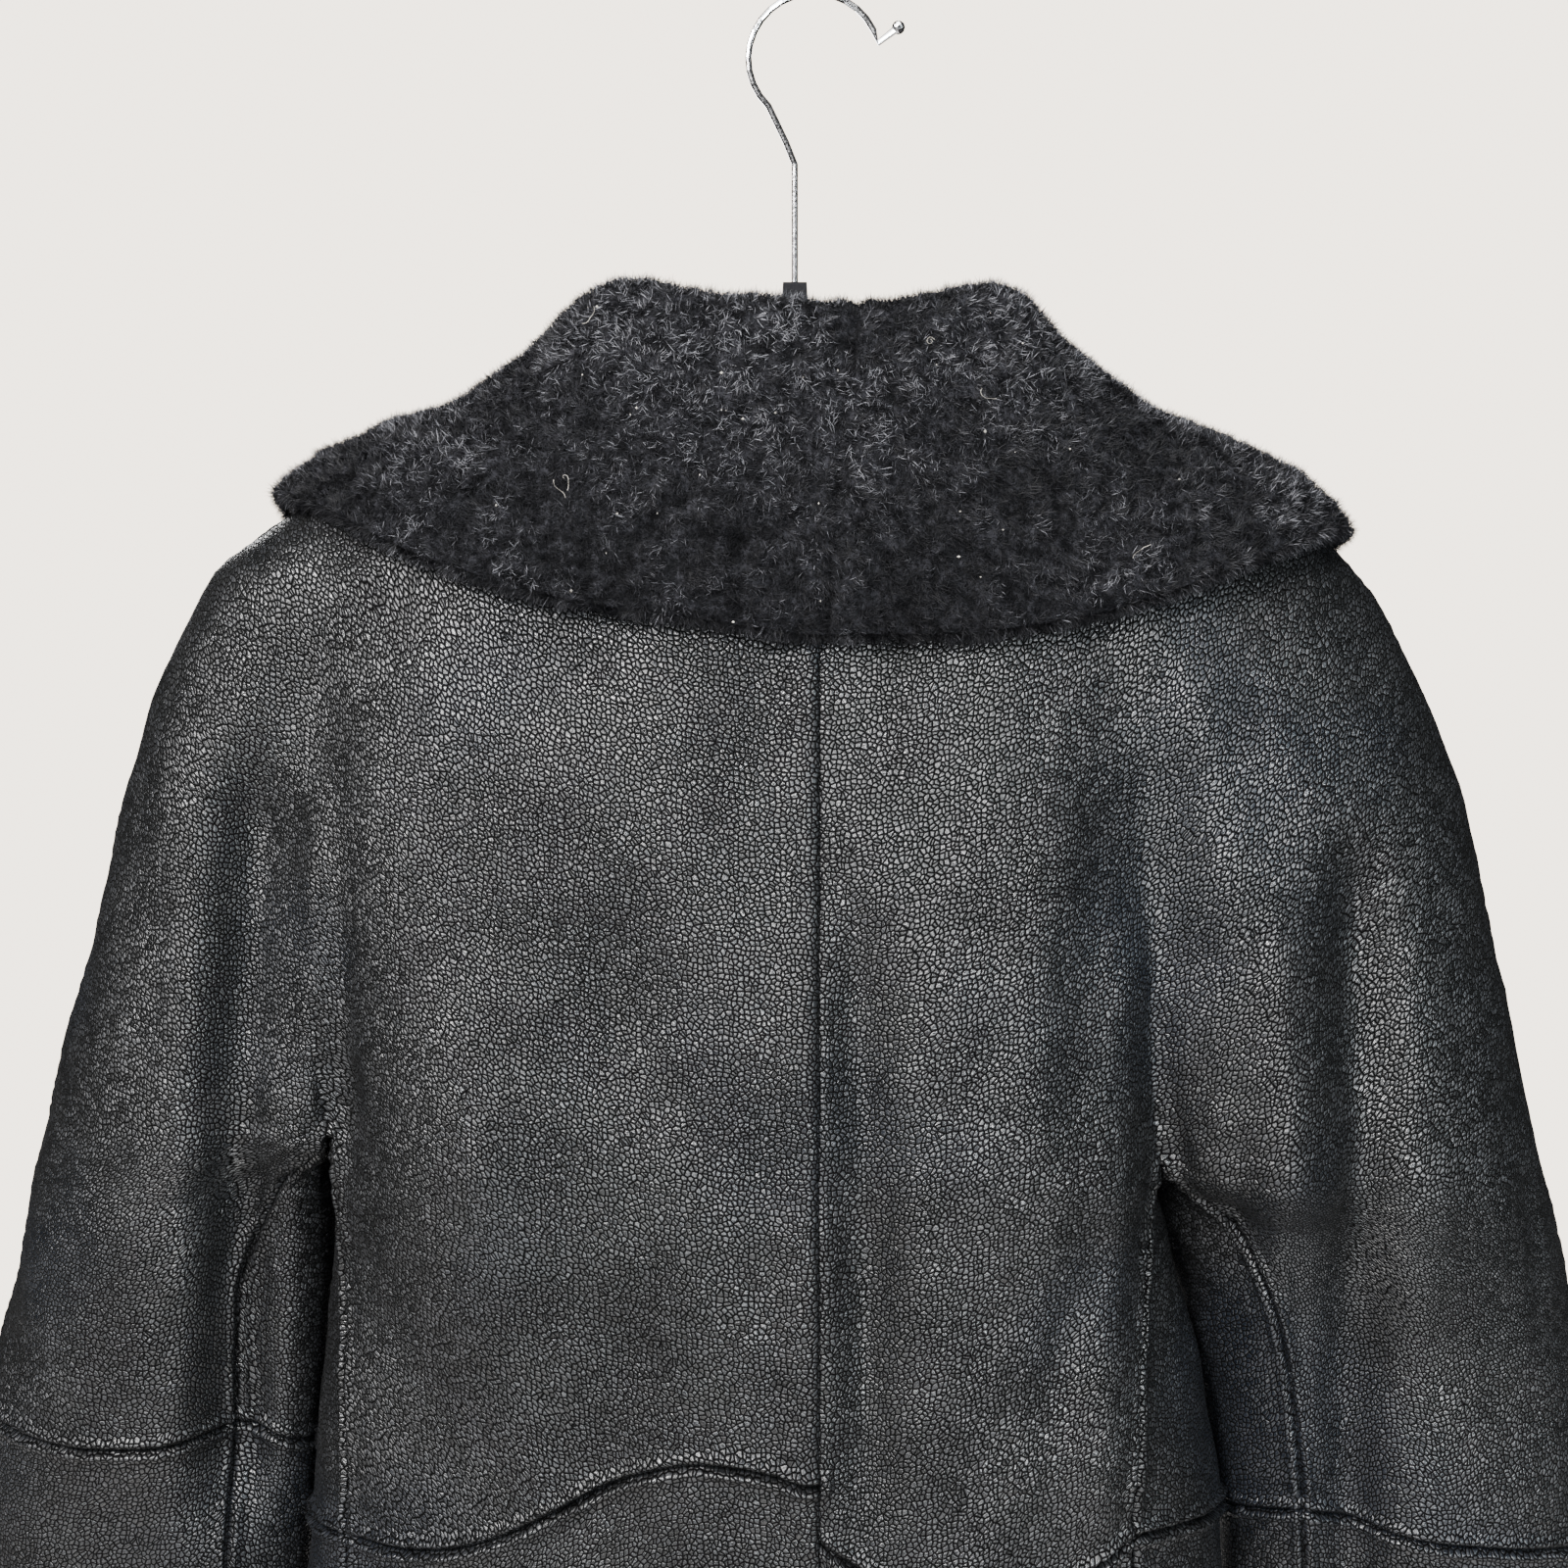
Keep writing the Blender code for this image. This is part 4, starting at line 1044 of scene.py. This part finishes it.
def nappaMaterial():
    # Nappa with a crackled pebble grain and a worn semi-gloss finish: pebbles glint; the cracks get painted
    # shade, near-black with their reflection taken out, and large patches get a painted blue reflection of
    # cool light
    look = nappaLook
    made, tree = newMaterial("pebbled nappa leather")
    at = objectAt(tree)
    # The grain lies on the flat cloth, slightly warped
    cloth = addNode(tree, "Attribute", attribute_name="cloth").outputs["Vector"]
    half, reach = (0.5, 0.5, 0.5), look["warp"] * 2 * mm
    warp = vectorMaths(tree, "SUBTRACT", noiseNode(tree, at, look["warpSize"], 2.0).outputs["Color"], half)
    moved = vectorMaths(tree, "MULTIPLY_ADD", warp, (reach, reach, 0.0), cloth)
    edge = grainNode(tree, moved, look["cell"], "DISTANCE_TO_EDGE").outputs["Distance"]
    own = grainNode(tree, moved, look["cell"], "F1")
    fineEdge = grainNode(tree, moved, look["fineCell"], "DISTANCE_TO_EDGE").outputs["Distance"]
    patchy = noiseTone(tree, at, look["patchSize"], 4.0)
    fineCrack = mixValue(tree, spread(tree, patchy, *look["fineHere"]), 1.0,
                         spread(tree, fineEdge, *look["fineEdge"]))
    # pebble is 0 in the cracks: there it paints shade into the colour and the reflection, and makes the
    # surface rough
    pebble = maths(tree, "MULTIPLY", spread(tree, edge, *look["crackEdge"]), fineCrack)
    # Height in millimetres: flat-topped pebbles, each tilted its own way, finer ones and a fine tooth
    height = maths(tree, "ADD", spread(tree, edge, *look["domeEdge"], 0.0, look["relief"]),
                   spread(tree, fineEdge, *look["fineDomeEdge"], 0.0, look["fineRelief"]))
    slope = vectorMaths(tree, "DOT_PRODUCT", vectorMaths(tree, "SUBTRACT", moved, own.outputs["Position"]),
                        vectorMaths(tree, "SUBTRACT", own.outputs["Color"], half), result="Value")
    height = maths(tree, "MULTIPLY_ADD", slope, look["tilt"] / mm, height)
    tooth = noiseTone(tree, at, look["tooth"], 2.0)
    height = maths(tree, "MULTIPLY_ADD", tooth, look["toothRelief"] * 2, height)
    ownTone = addNode(tree, "SeparateColor", {0: own.outputs["Color"]}).outputs[0]
    rubbed = spread(tree, maths(tree, "MULTIPLY", patchy, ownTone), *look["rubbedHere"])
    # Large random patches are tinted blue: a painted reflection of cool light
    cool = spread(tree, noiseTone(tree, at, look["coolSheenSize"], 1.0), *look["coolSheenHere"])
    top = mixColour(tree, cool, mixColour(tree, rubbed, look["top"], look["rubbed"]), look["cool"])
    gloss = spread(tree, noiseTone(tree, at, look["roughSize"], 3.0), *look["roughHere"])
    # The cracks are painted near-black and lose their reflection: painted shade in the creases
    return setShader(made, {
        "Base Color": mixColour(tree, pebble, look["crackShade"], top),
        "Specular Tint": mixColour(tree, pebble, look["crackShadeShine"], (1.0, 1.0, 1.0, 1.0)),
        "Roughness": mixValue(tree, pebble, look["roughCrack"], gloss),
        "Normal": bumpNormal(tree, height, 1.0, 1.0)})


woolLook = {
    "root": "#030304", "deep": "#08080a", "tip": "#1d1d20", "pale": "#7b7b80",
    "clump": 6.0, "hair": 0.9, "hairShare": 0.35, "relief": 3.0, "shadedHollows": (0.38, 0.66),
    "tipTones": (0.0, 0.45), "paleTones": (0.35, 1.0), "rootLength": (0.0, 0.7),
}


def fleeceMaterial():
    # The sheared wool under the pile and inside the jacket: matt, dense and almost black, painted darker in
    # the hollows of its bump as shade
    look = woolLook
    made, tree = newMaterial("sheared wool fleece")
    at = objectAt(tree)
    clump = noiseTone(tree, at, look["clump"], 4.0)
    height = maths(tree, "MULTIPLY_ADD", noiseTone(tree, at, look["hair"], 2.0), look["hairShare"], clump)
    # Same noise as the bump: low places are painted dark and high ones lighter, as painted shade and light
    colour = mixColour(tree, spread(tree, clump, *look["shadedHollows"]), look["root"], look["tip"])
    return setShader(made, {
        "Base Color": colour, "Normal": bumpNormal(tree, height, look["relief"], 0.9),
        "Roughness": 0.95, "Specular IOR Level": 0.08})


def fibreMaterial():
    # Single wool fibres: dark at the root, greyer at the tip, each a little different, and lighter or
    # darker by the painted light and shade in their tone
    look = woolLook
    made, tree = newMaterial("black wool fibre")
    uv = addNode(tree, "UVMap", uv_map="fibre").outputs["UV"]
    parts = addNode(tree, "SeparateXYZ", {0: uv}).outputs
    # The tone carries the pile's painted light and shade: low tones stay deep, high ones turn pale
    low = mixColour(tree, spread(tree, parts["X"], *look["tipTones"]), look["deep"], look["tip"])
    tip = mixColour(tree, spread(tree, parts["X"], *look["paleTones"]), low, look["pale"])
    colour = mixColour(tree, spread(tree, parts["Y"], *look["rootLength"]), look["root"], tip)
    return setShader(made, {"Base Color": colour, "Roughness": 0.6, "Specular IOR Level": 0.12})


chromeLook = {"tone": "#d6d6d8", "streak": 0.8, "rough": (0.3, 0.7, 0.10, 0.22)}


def chromeMaterial():
    # Chrome on drawn steel wire: a clean mirror, faintly streaked by the drawing
    made, tree = newMaterial("chromed steel wire")
    rough = spread(tree, noiseTone(tree, objectAt(tree), chromeLook["streak"], 3.0), *chromeLook["rough"])
    return setShader(made, {"Base Color": chromeLook["tone"], "Metallic": 1.0, "Roughness": rough})


plasticLook = {"low": "#08080a", "high": "#101012", "grain": 0.7, "spread": (0.3, 0.7), "relief": 0.08}


def plasticMaterial():
    # Injection-moulded black plastic with a satin spark-eroded surface
    look = plasticLook
    made, tree = newMaterial("moulded black plastic")
    grain = noiseTone(tree, objectAt(tree), look["grain"], 3.0)
    return setShader(made, {
        "Base Color": mixColour(tree, spread(tree, grain, *look["spread"]), look["low"], look["high"]),
        "Normal": bumpNormal(tree, grain, look["relief"], 0.7),
        "Roughness": 0.6, "Specular IOR Level": 0.05})


lintLook = {"low": "#57544f", "high": "#aaa59c", "patch": 6, "spread": (0.35, 0.65)}


def lintMaterial():
    # Undyed lint: matt, pale and slightly yellow
    look = lintLook
    made, tree = newMaterial("pale lint")
    share = spread(tree, noiseTone(tree, objectAt(tree), look["patch"], 1.0), *look["spread"])
    return setShader(made, {"Base Color": mixColour(tree, share, look["low"], look["high"]),
                            "Roughness": 0.9})


floorLook = {"low": "#dcd8d5", "high": "#e6e3e0", "scale": 1.5}


def floorMaterial():
    # Matt painted floor with hardly any tone in it
    look = floorLook
    made, tree = newMaterial("matt studio floor")
    share = noiseTone(tree, objectAt(tree), perMetre(look["scale"]), 2.0)
    return setShader(made, {"Base Color": mixColour(tree, share, look["low"], look["high"]),
                            "Roughness": 0.9})


def dressJacket():
    nappa, fleece, fibre = nappaMaterial(), fleeceMaterial(), fibreMaterial()
    panels = [panel for side in sides for panel in bodyPanels(side)]
    skin = BVHTree.FromPolygons(
        [Vector(p) for panel in panels for p in panel.points],
        [[int(k) + start for k in face]
         for panel, start in zip(panels, starts(panels)) for face in panel.faces])
    collars = [collarPanel(side, skin) for side in sides]
    sharedNormals(panels)
    sharedNormals(collars)
    print("pattern laid out:", len(panels) + len(collars), "pieces")
    lines = seamLines()
    for panel in panels:
        height = seamHeight(panel.points, lines) + hideHeight(panel.points)
        if panel.name in ("back_left", "lower_back_left", "back_right", "lower_back_right"):
            height += lapHeight(panel.points, panel.name.endswith("left"))
        outer = panel.points + panel.normals * height[:, None]
        uneven = hide["fleeceUneven"] * noiseAt(panel.points, hide["fleeceSize"], 6.6)
        inner = panel.points - panel.normals * (panel.wall - uneven)[:, None]
        declare(wallMesh(panel, outer, inner, [nappa, fleece]), panel)
    print("nappa pieces made")
    woollyPoints, woollyOut = [], []
    for panel in collars:
        # The nappa side lies against the jacket, and the wool side is what shows
        woolly = panel.points - panel.normals * panel.wall[:, None]
        height = woolHeight(woolly)
        woolly -= panel.normals * height[:, None]
        declare(wallMesh(panel, panel.points, woolly, [nappa, fleece]), panel)
        tones = woolToneWithPaintedLight(woolly, height)
        pile = pileMesh("pile_" + panel.name, [
            strands(woolly, panel.faces[:, ::-1], -panel.normals, tones, pileForm,
                    pileForm["count"], pileForm["length"]),
            edgeStrands(panel, woolly, tones, pileForm)], fibre)
        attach(pile, "root")
        woollyPoints.append(woolly)
        woollyOut.append(-panel.normals)
    lint = lintMesh(np.concatenate(woollyPoints), np.concatenate(woollyOut), lintMaterial())
    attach(lint, "root")
    print("collar and its pile made")


def declare(piece, panel):
    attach(piece, "root")
    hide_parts(panel.name)
    clothArea(panel.points, panel.faces) * mm**2


studio = {
    "cameraAt": (0.014, 0.998, -0.365), "cameraAngle": 40.0,
    "floorZ": -1.8, "floorSize": 5.0,
    "seen": "#eadfd0", "seenStrength": 4.9, "light": "#d6d6d6", "lightStrength": 0.06,
}
lamps = table("x y z aimX aimY aimZ wide high power cool", [
    (0.95, 1.75, 0.90, 0.0, 0.0, -0.35, 0.6, 0.5, 190, -0.12),
    (0.35, 2.6, 0.10, 0.0, 0.0, -0.40, 0.6, 0.7, 84, 0),
    (-0.90, 2.3, -0.35, -0.1, 0.0, -0.50, 0.35, 1.3, 98, 0.2),
    (0.2, 0.9, 1.5, 0.0, 0.0, -0.40, 1.4, 0.8, 40, 0),
    (2.0, 1.2, -0.1, 0.1, 0.0, -0.55, 0.4, 1.4, 44, 0),
    (-1.8, 1.3, 0.1, -0.1, 0.0, -0.55, 0.4, 1.3, 26, 0.5),
    (0.5, -2.2, 0.5, 0.0, 0.0, -0.40, 1.5, 1.5, 90, 0),
])


def buildStudio():
    scene = bpy.context.scene
    for x, y, z, aimX, aimY, aimZ, wide, high, power, cool in zip(*lamps.values()):
        light = bpy.data.lights.new("softbox", "AREA")
        light.shape, light.energy = "RECTANGLE", power
        light.size, light.size_y = wide, high
        light.color = (1 - 0.35 * cool, 1 - 0.12 * cool, 1.0)
        lamp = addObject("softbox", light)
        lamp.location = (x, y, z)
        lamp.rotation_euler = Vector((aimX - x, aimY - y, aimZ - z)).to_track_quat("-Z", "Y").to_euler()
    world = bpy.data.worlds.new("studio air")
    world.use_nodes = True
    tree = world.node_tree
    tree.nodes.clear()
    lit, seen = [addNode(tree, "Background", {"Color": studio[name], "Strength": studio[name + "Strength"]})
                 for name in ("light", "seen")]
    path = addNode(tree, "LightPath").outputs["Is Camera Ray"]
    mix = addNode(tree, "MixShader", {0: path, 1: lit.outputs[0], 2: seen.outputs[0]})
    addNode(tree, "OutputWorld", {"Surface": mix.outputs[0]})
    scene.world = world
    half, z = studio["floorSize"] / 2, studio["floorZ"]
    floor = bpy.data.meshes.new("floor")
    corners = [(-half, -half, z), (half, -half, z), (half, half, z), (-half, half, z)]
    floor.from_pydata(corners, [], [(0, 1, 2, 3)])
    floor.materials.append(floorMaterial())
    ground = addObject("floor", floor)
    camera = bpy.data.cameras.new("camera")
    camera.sensor_fit = "HORIZONTAL"
    camera.angle = math.radians(studio["cameraAngle"])
    view = addObject("camera", camera)
    view.location = studio["cameraAt"]
    view.rotation_euler = (math.pi / 2, 0, math.pi)
    scene.camera = view


def dressHanger():
    for node, finish in (("hanger_body", plasticMaterial()), ("hanger_hook", chromeMaterial())):
        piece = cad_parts[node]
        for holder in piece.material_slots:
            holder.material = finish
    print("hanger finished")


dressJacket()
dressHanger()
buildStudio()
print("studio set")
